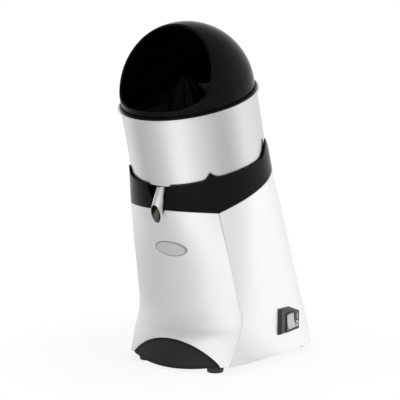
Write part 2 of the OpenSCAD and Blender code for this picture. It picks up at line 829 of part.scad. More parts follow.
module tie_bolts() {
    color("silver") leaning() at_bolts() {
        translate([0, 0, deck_z]) cylinder(r = hex_r, h = bolt_r, $fn = 6);
        disc(bolt_r, motor_low - nut_h - over, deck_z);
    }
}

module tie_nuts() {
    color("silver") leaning() at_bolts() difference() {
        translate([0, 0, motor_low - nut_h]) cylinder(r = hex_r, h = nut_h, $fn = 6);
        disc(bolt_r + screw_fit, motor_low - nut_h - over, motor_low + over);
    }
}

rotor_r = stator_bore_r - air_gap;
core_bore_r = shaft_r + 1;
cage_h = 6;
cage_w = 8;

module rotor_core() {
    color("#7c8186") leaning() tube(rotor_r, core_bore_r, stack_low, stack_top);
}

module rotor_cage() {
    color("#c4c8cc") leaning() {
        tube(rotor_r - over, rotor_r - over - cage_w, stack_top, stack_top + cage_h);
        tube(rotor_r - over, rotor_r - over - cage_w, stack_low - cage_h, stack_low);
    }
}

// Shaft, from the fan up to the reamer
shaft_top = reamer_base_z + shaft_share * reamer_h;
shaft_step_h = 8;
shaft_step_z = seat_z + shaft_step_h;
clip_groove = 1;
upper_z = deck_low - shield_t - boss_h;
lower_z = stack_low - bell_h + boss_h;
fan_h = 14;
fan_gap = 4;
fan_top = motor_low - fan_gap;
fan_hub_r = 12;
fan_sheet = 2;
clip_t = 1.2;
clip_z = fan_top - fan_h;
shaft_end = clip_z - 5 * clip_t;

module drive_shaft() {
    color("#d0d3d6") leaning() difference() {
        union() {
            disc(shaft_r, shaft_end, shaft_step_z);
            disc(core_bore_r, lower_z - bearing_in, upper_z + bearing_in);
            disc(tip_r, shaft_step_z, shaft_top);
        }
        translate([0, 0, pin_z]) rotate([90, 0, 0]) cylinder(r = pin_r, h = 4 * tip_r, center = true, $fn = 32);
        tube(shaft_r + over, shaft_r - clip_groove, clip_z - clip_t, clip_z);
    }
}

module drive_pin() {
    color("#e4e6e8") leaning() translate([0, 0, pin_z]) rotate([90, 0, 0])
        cylinder(r = pin_r, h = pin_len, center = true, $fn = 32);
}

ring_t = 3.2;

module at_bearings() {
    translate([0, 0, upper_z + bearing_in]) children();
    translate([0, 0, lower_z - bearing_in - bearing_w]) children();
}

ball_ring_r = (bearing_r + shaft_r) / 2;
groove_d = 0.9;
ball_r = (bearing_r - shaft_r) / 2 - ring_t + groove_d;
ball_n = 8;
ball_play = 0.1;

module race_groove() {
    translate([0, 0, bearing_w / 2]) rotate_extrude()
        translate([ball_ring_r, 0]) circle(r = ball_r + ball_play, $fn = 48);
}

module bearing_outer_rings() {
    color("#c0c4c8") leaning() at_bearings() difference() {
        tube(bearing_r, bearing_r - ring_t, 0, bearing_w);
        race_groove();
    }
}

module bearing_inner_rings() {
    color("#c0c4c8") leaning() at_bearings() difference() {
        tube(shaft_r + ring_t, shaft_r, 0, bearing_w);
        race_groove();
    }
}

module bearing_balls() {
    color("#e8eaec") leaning() at_bearings() for (i = [0 : ball_n - 1])
        rotate(i * 360 / ball_n) translate([ball_ring_r, 0, bearing_w / 2]) sphere(r = ball_r, $fn = 48);
}

module wave_washer() {
    z = upper_z + bearing_in + bearing_w;
    color("#a8acb0") leaning() tube(bearing_r - fit, bearing_r - ring_t, z, z + washer_h);
}

seal_r = 15;
slinger_t = 3;
slinger_gap = 2.5;

module shaft_seal() {
    top = seat_z - gasket_t;
    color("#2b2c2e") leaning() tube(seal_r, shaft_r + fit, top - seat_t, top);
}

module shaft_slinger() {
    color("#2b2c2e") leaning() tube(chimney_r - slinger_gap, shaft_r,
        seat_z + slinger_gap, seat_z + slinger_gap + slinger_t);
}

module cooling_fan() {
    color("#3b3e42") leaning() difference() {
        union() {
            disc(fan_hub_r, fan_top - fan_h, fan_top);
            disc(fan_r, fan_top - fan_sheet, fan_top);
            for (i = [0 : blade_count - 1]) rotate(i * 360 / blade_count)
                translate([fan_hub_r - over, -fan_sheet / 2, fan_top - fan_h + fan_sheet])
                    cube([fan_r - fan_hub_r, fan_sheet, fan_h - 2 * fan_sheet + over / 2]);
        }
        disc(shaft_r, fan_top - fan_h - over, fan_top + over);
    }
}

module fan_clip() {
    color("#8a8e92") leaning() difference() {
        tube(shaft_r + clip_w / 4, shaft_r - clip_groove, clip_z - clip_t, clip_z);
        translate([0, -shaft_r / 4, clip_z - 2 * clip_t]) cube([2 * shaft_r, shaft_r / 2, 3 * clip_t]);
    }
}

// Switch on the right side
switch_face = bowl_r + switch_out;
switch_round = 2;
frame_w = 2;
frame_t = 1;
switch_body_l = rocker_l + 2 * frame_w;
switch_body_h = rocker_h + 2 * frame_w;
switch_root = 22;
slope_start = 26;
slope_fall = 11;
switch_body_d = 24;
hinge_r = 1.2;
hinge_play = 0.08;
rocker_d = 9;
rocker_proud = 3;
rocker_gap = 0.6;
rocker_edge = 1;

module at_switch() {
    standing() translate([switch_face, switch_y, switch_z]) rotate([0, 0, switch_turn]) children();
}

module at_rocker() {
    at_switch() translate([0, 0, -rocker_drop]) children();
}

module switch_well(grow) {
    translate([-2 * switch_body_d, -switch_body_l / 2 - grow, -switch_body_h / 2 - grow])
        cube([3 * switch_body_d, switch_body_l + 2 * grow, switch_body_h + 2 * grow]);
}

// The body behind the switch housing, out to its surface
module side_block() {
    heights = [switch_z + switch_h, switch_z, switch_z - switch_h];
    rows = [for (k = [front_n + side_n - 3 : front_n + side_n + 9]) [
        for (g = heights) level_pt(k, g, -fit),
        for (i = [len(heights) - 1 : -1 : 0]) level_pt(k, heights[i], 2 * ledge_w)]];
    leaning() skin(rows);
}

// Slice of the switch housing, with the slope at its upper rear corner
module switch_slab(thick, inset) {
    l = switch_l / 2 - inset;
    h = switch_h / 2 - inset;
    rotate([90, 0, 90]) linear_extrude(height = thick)
        polygon([[-l, -h], [l, -h], [l, h - slope_fall], [slope_start - switch_l / 2, h], [-l, h]]);
}

module switch_housing() {
    color("#1b1b1d") difference() {
        at_switch() hull() {
            translate([-switch_root, 0, 0]) switch_slab(switch_root - switch_round, 0);
            translate([-switch_round, 0, 0]) switch_slab(switch_round, switch_round);
        }
        at_rocker() switch_well(0);
        side_block();
    }
}

module switch_body() {
    color("#2a2a2d") at_rocker() difference() {
        union() {
            translate([-switch_body_d, -switch_body_l / 2 + fit, -switch_body_h / 2 + fit])
                cube([switch_body_d + frame_t, switch_body_l - 2 * fit, switch_body_h - 2 * fit]);
            translate([0, -switch_body_l / 2 - frame_t, -switch_body_h / 2 - frame_t])
                cube([frame_t, switch_body_l + 2 * frame_t, switch_body_h + 2 * frame_t]);
        }
        translate([-rocker_d - over, -rocker_l / 2 - rocker_gap, -rocker_h / 2 - rocker_gap])
            cube([rocker_d + 3 * over, rocker_l + 2 * rocker_gap, rocker_h + 2 * rocker_gap]);
        rocker_axis() cylinder(r = hinge_r + screw_fit, h = rocker_l + frame_w + fit, center = true, $fn = 32);
    }
}

module rocker_axis() {
    translate([-rocker_d / 2, 0, 0]) rotate([90, 0, 0]) children();
}

module switch_rocker() {
    half = rocker_h / 2 - rocker_edge;
    back = rocker_d / 3;
    front = rocker_d / 2 + rocker_proud;
    color("#8b8e92") at_rocker() rocker_axis() rotate([0, 0, rocker_tilt]) difference() {
        translate([0, 0, -rocker_l / 2 + fit]) linear_extrude(height = rocker_l - 2 * fit)
            polygon([[-back, -half / 3], [-back, half / 3], [0, half - rocker_edge],
                     [front - 1.5 * rocker_edge, half], [front - rocker_edge / 2, half - rocker_edge],
                     [front - 2 * rocker_edge, 0], [front - rocker_edge / 2, -half + rocker_edge],
                     [front - 1.5 * rocker_edge, -half], [0, -half + rocker_edge]]);
        cylinder(r = hinge_r + hinge_play, h = 2 * rocker_l, center = true, $fn = 32);
    }
}

module rocker_pin() {
    color("silver") at_rocker() rocker_axis()
        cylinder(r = hinge_r, h = rocker_l + frame_w, center = true, $fn = 32);
}

// Electrical parts on the base plate, from the rear ledge forwards
rear_k = front_n + half_n;
ledge_rear_y = behind(level_pt(rear_k, plate_high, ledge_w));
term_l = 46;
term_w = 18;
term_h = 16;
term_x = -34;
term_gap = 7.4;
term_y = ledge_rear_y - term_gap - term_w / 2;
pole_n = 4;
pole_r = 2.6;
wire_r = 2.2;
pole_depth = 6;
cap_r = 18;
cap_l = 74;
cap_x = 6;
cap_gap = 3;
cap_y = term_y - term_w / 2 - cap_gap - cap_r;
cap_plug_h = 3;
blade_r = 1.5;
clip_w = 12;
clip_sheet = 1.2;
clip_foot = 10;

module cap_axis() {
    standing() translate([cap_x, cap_y, plate_high + cap_r + clip_sheet + fit]) rotate([0, 90, 0]) children();
}

module run_capacitor() {
    color("#d7dadd") cap_axis() {
        cylinder(r = cap_r, h = cap_l, center = true);
        translate([0, 0, cap_l / 2]) cylinder(r = cap_r / 2, h = cap_plug_h);
        for (s = [-1, 1]) translate([0, s * cap_r / 4, cap_l / 2]) cylinder(r = blade_r, h = 3 * cap_plug_h, $fn = 24);
    }
}

module capacitor_clip() {
    color("#a9adb1") difference() {
        union() {
            cap_axis() cylinder(r = cap_r + fit + clip_sheet, h = clip_w, center = true);
            standing() translate([cap_x - clip_w / 2, cap_y - cap_r - clip_foot, plate_high])
                cube([clip_w, 2 * (cap_r + clip_foot), clip_sheet]);
        }
        cap_axis() cylinder(r = cap_r + fit, h = 2 * clip_w, center = true);
        standing() translate([cap_x - clip_w, cap_y - cap_r, plate_high - 4 * cap_r])
            cube([2 * clip_w, 2 * cap_r, 4 * cap_r]);
    }
}

module terminal_block() {
    color("#e7e3d6") standing() translate([term_x, term_y, plate_high]) difference() {
        translate([-term_l / 2, -term_w / 2, 0]) cube([term_l, term_w, term_h]);
        for (i = [0 : pole_n - 1]) translate([(i + 0.5 - pole_n / 2) * term_l / pole_n, 0, 0]) {
            disc(pole_r, term_h - pole_depth, term_h + over);
            translate([0, 0, term_h / 3]) rotate([90, 0, 0])
                cylinder(r = wire_r, h = term_w + 2 * over, center = true, $fn = 32);
        }
    }
}

// Gland for the power cord, clamped on the rear wall
gland_r = 8;
gland_bore_r = 4;
gland_flange = 3.5;
gland_flange_t = 5;
gland_nose = 8;
gland_tail = 16;
gland_nut_t = 5;
gland_h = 54;
gland_x = -20;
gland_z = level_z(rear_k, gland_h);

module gland_axis() {
    leaning() translate([gland_x, ring_pt(rear_k, gland_z).y + fit, gland_z]) rotate([-90, 0, 0]) children();
}

module cord_gland() {
    color("#1c1c1e") gland_axis() difference() {
        union() {
            disc(gland_r, -gland_tail, gland_flange_t);
            disc(gland_r + gland_flange, 0, gland_flange_t);
            translate([0, 0, gland_flange_t])
                cylinder(r1 = gland_r + gland_flange / 2, r2 = gland_r - gland_flange / 2, h = gland_nose);
        }
        disc(gland_bore_r, -gland_tail - over, gland_flange_t + gland_nose + over);
    }
}

module gland_nut() {
    color("#1c1c1e") gland_axis() translate([0, 0, -wall - 4 * fit - gland_nut_t]) difference() {
        cylinder(r = gland_r + gland_flange, h = gland_nut_t, $fn = 6);
        disc(gland_r + screw_fit, -over, gland_nut_t + over);
    }
}

hood();
bowl();
spout_tube();
strainer();
reamer();
collar();
main_housing();
front_panel();
toe_insert();
badge_plate();
base_plate();
base_screws();
rubber_feet();
foot_screws();
motor_deck();
deck_screws();
bowl_seat();
seat_screws();
bowl_gasket();
upper_end_shield();
lower_end_shield();
stator_core();
stator_windings();
tie_bolts();
tie_nuts();
rotor_core();
rotor_cage();
drive_shaft();
drive_pin();
bearing_outer_rings();
bearing_inner_rings();
bearing_balls();
wave_washer();
shaft_seal();
shaft_slinger();
cooling_fan();
fan_clip();
switch_housing();
switch_body();
switch_rocker();
rocker_pin();
run_capacitor();
capacitor_clip();
terminal_block();
cord_gland();
gland_nut();
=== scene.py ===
"""Looks of a citrus juicer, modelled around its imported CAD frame."""

import json
import math

import bpy
from mathutils import Matrix, Vector


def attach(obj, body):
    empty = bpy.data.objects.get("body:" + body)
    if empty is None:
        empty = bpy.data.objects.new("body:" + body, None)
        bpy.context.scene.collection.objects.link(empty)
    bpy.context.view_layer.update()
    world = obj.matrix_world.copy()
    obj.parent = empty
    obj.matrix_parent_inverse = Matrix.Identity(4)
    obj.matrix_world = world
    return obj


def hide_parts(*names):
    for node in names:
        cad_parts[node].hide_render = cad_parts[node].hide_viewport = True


bl_info = {
    "name": "Citrus Juicer",
    "version": (1, 0, 0),
    "blender": (4, 5, 0),
    "location": "3D View > Sidebar > Juicer",
    "description": "Models a citrus juicer with a leaning bowl, a dome and a metal body",
    "category": "Add Mesh",
}

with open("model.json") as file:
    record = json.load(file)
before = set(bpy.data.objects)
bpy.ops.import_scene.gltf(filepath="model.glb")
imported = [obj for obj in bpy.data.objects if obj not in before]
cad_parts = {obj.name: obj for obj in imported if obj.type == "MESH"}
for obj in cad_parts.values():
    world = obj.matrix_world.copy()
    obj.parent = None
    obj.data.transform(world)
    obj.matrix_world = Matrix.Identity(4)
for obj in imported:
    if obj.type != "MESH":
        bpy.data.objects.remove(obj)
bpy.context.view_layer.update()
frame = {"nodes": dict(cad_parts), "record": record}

# Outline of the body, as in the part's source: share of its height, share of the bowl radius
CORNER_X = [(0.24, 0.752), (0.39, 0.812), (0.55, 0.872), (0.69, 0.912), (0.79, 0.946),
            (0.86, 0.97), (0.90, 0.969), (1, 0.928), (1.1, 0.886)]
CORNER_Y = [(0.24, 0.705), (0.39, 0.738), (0.55, 0.757), (0.74, 0.777), (0.81, 0.784),
            (0.85, 0.81), (0.89, 0.90), (1, 1.226), (1.1, 1.52)]
BULGE = [(0.24, 0.33), (0.39, 0.311), (0.55, 0.215), (0.69, 0.178), (0.76, 0.185),
         (0.81, 0.235), (0.86, 0.345), (0.90, 0.40), (0.94, 0.37), (1, 0.29), (1.1, 0.17)]
WIDTH = [(0.24, 1.035), (0.39, 1.045), (0.68, 1.02), (0.87, 1.005), (1, 1)]
REAR = [(0.24, 1.035), (0.39, 1.045), (0.68, 1.04), (1, 1.03)]
REAR_POWER = [(0.39, 2), (0.45, 2.15), (0.59, 2.45), (0.68, 2.7), (0.87, 3.3), (1.04, 4.3), (1.1, 4.6)]
SIDE_POWER = [(0.24, 2.2), (0.39, 2.2), (0.68, 3), (0.87, 4), (1, 5)]
CORNER_DROP = 0.3687

# Places along the outline: left corner, right corner, middle of the rear and the left corner again
FRONT_END = 24
FRONT_MIDDLE = FRONT_END / 2
SIDE_STEPS = 8
QUARTER_STEPS = 14
REAR_MIDDLE = FRONT_END + SIDE_STEPS + QUARTER_STEPS
ROUND = 2 * REAR_MIDDLE - FRONT_END

BODY_CLEAR = 0.011
WALL = 0.003
SEAM = 0.0005
EDGE_ROUND = 0.0006
CREASE_GAP = 0.04
COLLAR_DROP = 0.0957
FRONT_DIP = 0.004
SEAM_DROP = 0.146
SEAM_RISES = (0.010, 0.021)
PEAKS = ((9, 0.009), (19, 0.021))
REAR_PEAK_FACING = 115.7
TOE_RISE = 0.0325
TOE_SAG = 0.008
TOE_EDGE = 0.0119
SLOT_GAP = 0.0022
SLOT_FLARE = 0.65
SPOUT_SLOPE = math.radians(52)
SPOUT_REACH = 0.1157
SPOUT_DROP = 0.1384
FOOT_X, FOOT_Y = 0.0635, 0.103


def length(name, description, default):
    return bpy.props.FloatProperty(name=name, description=description, default=default, unit="LENGTH")


def colour(name, description, default):
    return bpy.props.FloatVectorProperty(
        name=name, description=description, default=default, subtype="COLOR")


class JuicerSizes(bpy.types.PropertyGroup):
    lean: bpy.props.FloatProperty(
        name="Lean", description="Forward lean of the bowl and the body",
        default=math.radians(15), subtype="ANGLE")
    rim_height: length("Rim Height", "Height of the rim centre above the table", 0.398)
    rim_forward: length("Rim Forward", "How far the rim centre stands in front of the feet's middle", 0.085)
    stand_left: length(
        "Feet to the Left", "Middle of the feet, to the left of the middle of the outline", 0.0014)
    stand_back: length("Feet to the Rear", "Middle of the feet, behind the middle of the outline", 0.0285)
    bowl_radius: length("Bowl Radius", "Outer radius of the bowl wall", 0.100)
    bowl_depth: length("Bowl Depth", "Depth of the bowl", 0.102)
    sheet: length("Sheet", "Thickness of the bowl sheet", 0.0012)
    hood_radius: length("Hood Radius", "Outer radius of the dome", 0.0986)
    hood_rise: length("Hood Rise", "Height of the dome's centre above the rim", 0.0109)
    hood_wall: length("Hood Wall", "Wall of the dome", 0.003)
    spout_radius: length("Spout Radius", "Outer radius of the spout tube", 0.00875)
    toe_half: length("Toe Half Width", "Half width of the toe insert", 0.0803)
    reamer_radius: length("Reamer Radius", "Radius of the reamer at its base", 0.040)
    rib_count: bpy.props.IntProperty(
        name="Ribs", description="Number of ribs on the reamer", default=10, min=6, max=12)


class JuicerColours(bpy.types.PropertyGroup):
    paint: colour("Body Paint", "Silver paint of the body", (0.80, 0.803, 0.805))
    steel: colour("Steel", "Stainless steel of bowl and spout", (0.74, 0.735, 0.72))
    hood: colour("Hood", "Gloss black of the dome", (0.003, 0.003, 0.0035))
    collar: colour("Collar", "Black of the collar", (0.004, 0.0042, 0.0046))
    rubber: colour("Toe Rubber", "Rubber of the toe insert", (0.022, 0.021, 0.022))


def sizes():
    return bpy.context.scene.juicer_sizes


def colours():
    return bpy.context.scene.juicer_colours


# Outline of the leaning body


def smooth(table, share):
    """Value of a table at a share, on a curve that never swings past its points."""
    if share <= table[0][0]:
        return table[0][1]
    if share >= table[-1][0]:
        return table[-1][1]
    slopes = [(b[1] - a[1]) / (b[0] - a[0]) for a, b in zip(table, table[1:])]
    i = max(n for n, row in enumerate(table[:-1]) if row[0] <= share)
    ends = []
    for n in (i, i + 1):
        if n in (0, len(table) - 1):
            ends.append(slopes[min(n, len(slopes) - 1)])
        elif slopes[n - 1] * slopes[n] <= 0:
            ends.append(0)
        else:
            ends.append(2 * slopes[n - 1] * slopes[n] / (slopes[n - 1] + slopes[n]))
    width = table[i + 1][0] - table[i][0]
    t = (share - table[i][0]) / width
    return (table[i][1] * (1 + 2 * t) * (1 - t) ** 2 + table[i + 1][1] * t * t * (3 - 2 * t)
            + width * (ends[0] * t * (1 - t) ** 2 + ends[1] * t * t * (t - 1)))


def share_of_bowl(table, z):
    return sizes().bowl_radius * smooth(table, -z / CORNER_DROP)


def front_point(u, z):
    """Point of the front arc, u from -1 at the left corner to 1 at the right one."""
    corner = share_of_bowl(CORNER_X, z)
    bulge = share_of_bowl(BULGE, z)
    radius = (corner * corner + bulge * bulge) / (2 * bulge)
    y = -share_of_bowl(CORNER_Y, z) - bulge + radius - math.sqrt(radius ** 2 - (corner * u) ** 2)
    return corner * u, y


def side_point(i, z):
    """Point of the right side and half of the rear, i from 0 at the front corner."""
    width = share_of_bowl(WIDTH, z)
    if i < SIDE_STEPS:
        f = 1 - i / SIDE_STEPS
        x = width - (width - share_of_bowl(CORNER_X, z)) * f ** smooth(SIDE_POWER, -z / CORNER_DROP)
        return x, -share_of_bowl(CORNER_Y, z) * f
    turn = math.pi / 2 * (i - SIDE_STEPS) / QUARTER_STEPS
    power = smooth(REAR_POWER, -z / CORNER_DROP)
    c, s = max(math.cos(turn), 0), math.sin(turn)
    reach = (c ** power + s ** power) ** (-1 / power)
    return width * c * reach, share_of_bowl(REAR, z) * s * reach


def outline(k, z):
    """Point of the body's outline at height z along the leaning axis."""
    k = k % ROUND
    if k <= FRONT_END:
        return front_point(2 * k / FRONT_END - 1, z)
    if k <= REAR_MIDDLE:
        return side_point(k - FRONT_END, z)
    x, y = side_point(2 * REAR_MIDDLE - k - FRONT_END, z)
    return -x, y


def standing(x, y, z):
    """A place measured from the middle of the feet, in the object's frame."""
    return Vector((x - sizes().stand_left, y + sizes().stand_back, z))


def leaning(x, y, z):
    """A place in the leaning frame as a place in the object's frame."""
    s = sizes()
    c, n = math.cos(s.lean), math.sin(s.lean)
    return standing(x, -s.rim_forward + y * c - z * n, s.rim_height + y * n + z * c)


def leaning_matrix():
    return Matrix.Translation(leaning(0, 0, 0)) @ Matrix.Rotation(sizes().lean, 4, "X")


def on_level(y, ground):
    """Height along the leaning axis of a place at y and at a height above the table."""
    s = sizes()
    return (ground - s.rim_height - math.sin(s.lean) * y) / math.cos(s.lean)


def level_height(k, ground):
    """Height along the leaning axis where the outline meets a level plane."""
    z = on_level(0, ground)
    for _ in range(9):
        z = on_level(outline(k, z)[1], ground)
    return z


def facing(k, z=-COLLAR_DROP):
    x, y = outline(k, z)
    return math.degrees(abs(math.atan2(x, -y)))


def collar_top(k):
    a = facing(k)
    top = -COLLAR_DROP - FRONT_DIP * max(0, 1 - (a / facing(FRONT_END)) ** 2)
    for at, (spread, high) in zip((facing(FRONT_END), REAR_PEAK_FACING), PEAKS):
        top += high * max(0, 1 - abs(a - at) / spread) ** 2
    return top


def seam_height(k):
    a, corner = facing(k), facing(FRONT_END)
    t = a / corner if a < corner else (180 - a) / (180 - corner)
    return -SEAM_DROP + SEAM_RISES[0 if a < corner else 1] * (1 - t * t)


def arch_radius(rise):
    """Radius of an arch as wide as the toe insert."""
    return (sizes().toe_half ** 2 + rise ** 2) / (2 * rise)


def slot_radius():
    return sizes().spout_radius + SLOT_GAP


def spout_height(y):
    return -SPOUT_DROP + (y + SPOUT_REACH) * math.tan(SPOUT_SLOPE)


def slot_half_width(z, y):
    """Half width of the spout's slot at height z, round at its foot and wider towards its top."""
    below = (spout_height(y) - z) * math.cos(SPOUT_SLOPE)
    if below <= 0:
        return slot_radius() - SLOT_FLARE * below
    return math.sqrt(max(slot_radius() ** 2 - below ** 2, 0))


# Modelling by hand


def deselect():
    if bpy.context.object and bpy.context.object.mode != "OBJECT":
        bpy.ops.object.mode_set(mode="OBJECT")
    bpy.ops.object.select_all(action="DESELECT")


def pick(piece):
    """Makes the piece the active and the only selected one."""
    deselect()
    piece.select_set(True)
    bpy.context.view_layer.objects.active = piece


def edit(piece):
    pick(piece)
    bpy.ops.object.mode_set(mode="EDIT")


def select_faces(piece, test):
    """Selects the faces whose centre passes the test."""
    bpy.ops.mesh.select_mode(type="FACE")
    bpy.ops.mesh.select_all(action="DESELECT")
    bpy.ops.object.mode_set(mode="OBJECT")
    for face in piece.data.polygons:
        face.select = test(face.center)
    bpy.ops.object.mode_set(mode="EDIT")


def settle(piece, matrix):
    """Puts the piece's place into its mesh."""
    piece.data.transform(matrix)
    piece.data.update()


def modify(piece, kind, **settings):
    """Adds a modifier with these settings and applies it."""
    pick(piece)
    bpy.ops.object.modifier_add(type=kind)
    modifier = piece.modifiers[-1]
    for name, value in settings.items():
        setattr(modifier, name, value)
    bpy.ops.object.modifier_apply(modifier=modifier.name)


def sheet_of(name, columns):
    """A grid laid over columns of places, each column from low to high."""
    deselect()
    bpy.ops.mesh.primitive_grid_add(
        x_subdivisions=len(columns) - 1, y_subdivisions=len(columns[0]) - 1, size=1)
    piece = bpy.context.object
    piece.name = name
    # The grid's vertices run across first, then up
    for i, v in enumerate(piece.data.vertices):
        v.co = columns[i % len(columns)][i // len(columns)]
    edit(piece)
    bpy.ops.mesh.select_all(action="SELECT")
    bpy.ops.mesh.remove_doubles(threshold=0.00001)
    deselect()
    return piece


def turned(name, profile, matrix, steps=96, ring=True):
    """A profile of (radius, height) turned round the axis: a closed ring, or a chain from axis to axis."""
    deselect()
    bpy.ops.mesh.primitive_circle_add(vertices=len(profile), radius=1)
    piece = bpy.context.object
    piece.name = name
    last = len(profile) - 1
    for v, (r, z) in zip(piece.data.vertices, profile):
        v.co = (r, 0, z)
    edit(piece)
    if not ring:
        bpy.ops.mesh.select_mode(type="EDGE")
        bpy.ops.mesh.select_all(action="DESELECT")
        bpy.ops.object.mode_set(mode="OBJECT")
        for e in piece.data.edges:
            e.select = set(e.vertices) == {0, last}
        bpy.ops.object.mode_set(mode="EDIT")
        bpy.ops.mesh.delete(type="EDGE")
    bpy.ops.mesh.select_mode(type="VERT")
    bpy.ops.mesh.select_all(action="SELECT")
    bpy.ops.mesh.spin(steps=steps, angle=2 * math.pi, center=(0, 0, 0), axis=(0, 0, 1))
    bpy.ops.mesh.select_all(action="SELECT")
    bpy.ops.mesh.remove_doubles(threshold=0.000005)
    bpy.ops.mesh.normals_make_consistent(inside=False)
    deselect()
    settle(piece, matrix)
    return piece


def gaps_between(start, end, steps):
    """Values from start to end in equal steps."""
    return [start + (end - start) * i / steps for i in range(steps + 1)]


def arc(centre, radius, start, end, steps):
    """Places on an arc, angles in degrees."""
    turns = [math.radians(degrees) for degrees in gaps_between(start, end, steps)]
    return [(centre[0] + radius * math.cos(a), centre[1] + radius * math.sin(a)) for a in turns]


def block(name, low, high, matrix=Matrix()):
    """A box between two corners."""
    deselect()
    bpy.ops.mesh.primitive_cube_add(size=1)
    piece = bpy.context.object
    piece.name = name
    low, high = Vector(low), Vector(high)
    size = Matrix.Diagonal((*(high - low), 1))
    settle(piece, matrix @ Matrix.Translation((low + high) / 2) @ size)
    return piece


def prism(name, corners, thick, matrix):
    """A flat outline of (x, y), extruded along its own z to both sides of zero."""
    deselect()
    bpy.ops.mesh.primitive_circle_add(vertices=len(corners), radius=1, fill_type="NGON")
    piece = bpy.context.object
    piece.name = name
    for v, (x, y) in zip(piece.data.vertices, corners):
        v.co = (x, y, -thick / 2)
    edit(piece)
    bpy.ops.mesh.select_all(action="SELECT")
    bpy.ops.mesh.extrude_region_move(TRANSFORM_OT_translate={"value": (0, 0, thick)})
    bpy.ops.mesh.select_all(action="SELECT")
    bpy.ops.mesh.normals_make_consistent(inside=False)
    deselect()
    settle(piece, matrix)
    return piece


# Turns for a prism: its outline in the plane of y and z, and in the plane of x and z
SIDEWAYS = Matrix(((0, 0, 1, 0), (1, 0, 0, 0), (0, 1, 0, 0), (0, 0, 0, 1)))
UPRIGHT = Matrix(((1, 0, 0, 0), (0, 0, -1, 0), (0, 1, 0, 0), (0, 0, 0, 1)))


def cut(piece, tool, operation="DIFFERENCE"):
    modify(piece, "BOOLEAN", operation=operation, object=tool, solver="EXACT")
    bpy.data.objects.remove(tool)


def soften(piece, width, angle=50, segments=3):
    modify(piece, "BEVEL", width=width, segments=segments, limit_method="ANGLE",
           angle_limit=math.radians(angle), harden_normals=False)


def join(name, pieces):
    deselect()
    for piece in pieces:
        piece.select_set(True)
    bpy.context.view_layer.objects.active = pieces[0]
    bpy.ops.object.join()
    pieces[0].name = name
    return pieces[0]


def dress(piece, body, slot, material, *nodes, angle=32):
    """Shades a finished piece, gives it its material, ties it to its body and hides the CAD nodes that it
    stands for; its slot is not used.
    """
    pick(piece)
    bpy.ops.object.shade_smooth_by_angle(angle=math.radians(angle))
    piece.data.materials.clear()
    piece.data.materials.append(material)
    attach(piece, body)
    if nodes:
        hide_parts(*nodes)


def second_finish(piece, material, test):
    """Gives the faces whose centre passes the test a second material."""
    piece.data.materials.append(material)
    for face in piece.data.polygons:
        face.material_index = int(test(face.center))


# Shared surface effects

MASK_AND_NORMAL = {"Mask": "NodeSocketFloat", "Normal": "NodeSocketVector"}


def set_inputs(node, values):
    for name, value in values.items():
        node.inputs[name].default_value = value


def add_node(tree, kind, settings=None, inputs=None):
    """A shader node with its own settings and the values of its inputs."""
    node = tree.nodes.new("ShaderNode" + kind)
    for name, value in (settings or {}).items():
        setattr(node, name, value)
    set_inputs(node, inputs or {})
    return node


def wire(tree, *wires):
    """Links nodes, each wire from a node's output to another node's input."""
    for node, output, target, entry in wires:
        tree.links.new(node.outputs[output], target.inputs[entry])


def shared_group(name, inputs, outputs, build):
    """The shader node group of that name, which is built the first time."""
    group = bpy.data.node_groups.get(name)
    if group is None:
        group = bpy.data.node_groups.new(name, "ShaderNodeTree")
        for label, value in inputs.items():
            kind = "NodeSocketFloat" if isinstance(value, float) else "NodeSocketVector"
            group.interface.new_socket(name=label, in_out="INPUT", socket_type=kind).default_value = value
        for label, kind in outputs.items():
            group.interface.new_socket(name=label, in_out="OUTPUT", socket_type=kind)
        build(group, group.nodes.new("NodeGroupInput"), group.nodes.new("NodeGroupOutput"))
    return group


def add_relief(group, place, start, scale, end, detail, distance):
    """Noise at a place, which goes out as a mask and as a normal."""
    noise = add_node(group, "TexNoise", inputs={"Detail": detail})
    bump = add_node(group, "Bump", inputs={"Distance": distance})
    wire(group, (*place, noise, "Vector"), (start, scale, noise, "Scale"), (noise, "Fac", bump, "Height"),
         (start, "Depth", bump, "Strength"), (noise, "Fac", end, "Mask"), (bump, "Normal", end, "Normal"))


def grain_group():
    """Fine grain: a mask and a normal, as on paint, rubber and moulded plastic."""
    def build(group, start, end):
        place = add_node(group, "TexCoord")
        add_relief(group, (place, "Object"), start, "Scale", end, detail=3, distance=0.0002)

    return shared_group("Fine Grain", {"Scale": 900.0, "Depth": 0.1}, MASK_AND_NORMAL, build)


def brushed_group():
    """Fine lines that run round the leaning axis, as on satin steel."""
    def build(group, start, end):
        place = add_node(group, "TexCoord")
        lean = add_node(group, "Mapping", inputs={"Rotation": (-sizes().lean, 0, 0)})
        squash = add_node(group, "Mapping", inputs={"Scale": (0.012, 0.012, 1)})
        wire(group, (place, "Object", lean, "Vector"), (lean, "Vector", squash, "Vector"))
        add_relief(group, (squash, "Vector"), start, "Fineness", end, detail=2, distance=0.0001)

    return shared_group("Brushed Lines", {"Fineness": 2600.0, "Depth": 0.05}, MASK_AND_NORMAL, build)


def marks_group():
    """Broad, soft changes of gloss from handling: a value to use as roughness."""
    def build(group, start, end):
        place = add_node(group, "TexCoord")
        noise = add_node(group, "TexNoise", inputs={"Detail": 5})
        span = add_node(group, "MapRange", inputs={"From Min": 0.3, "From Max": 0.7})
        wire(group, (place, "Object", noise, "Vector"), (start, "Scale", noise, "Scale"),
             (noise, "Fac", span, "Value"), (start, "Low", span, "To Min"),
             (start, "High", span, "To Max"), (span, "Result", end, "Roughness"))

    return shared_group("Handling Marks", {"Scale": 14.0, "Low": 0.2, "High": 0.3},
                        {"Roughness": "NodeSocketFloat"}, build)


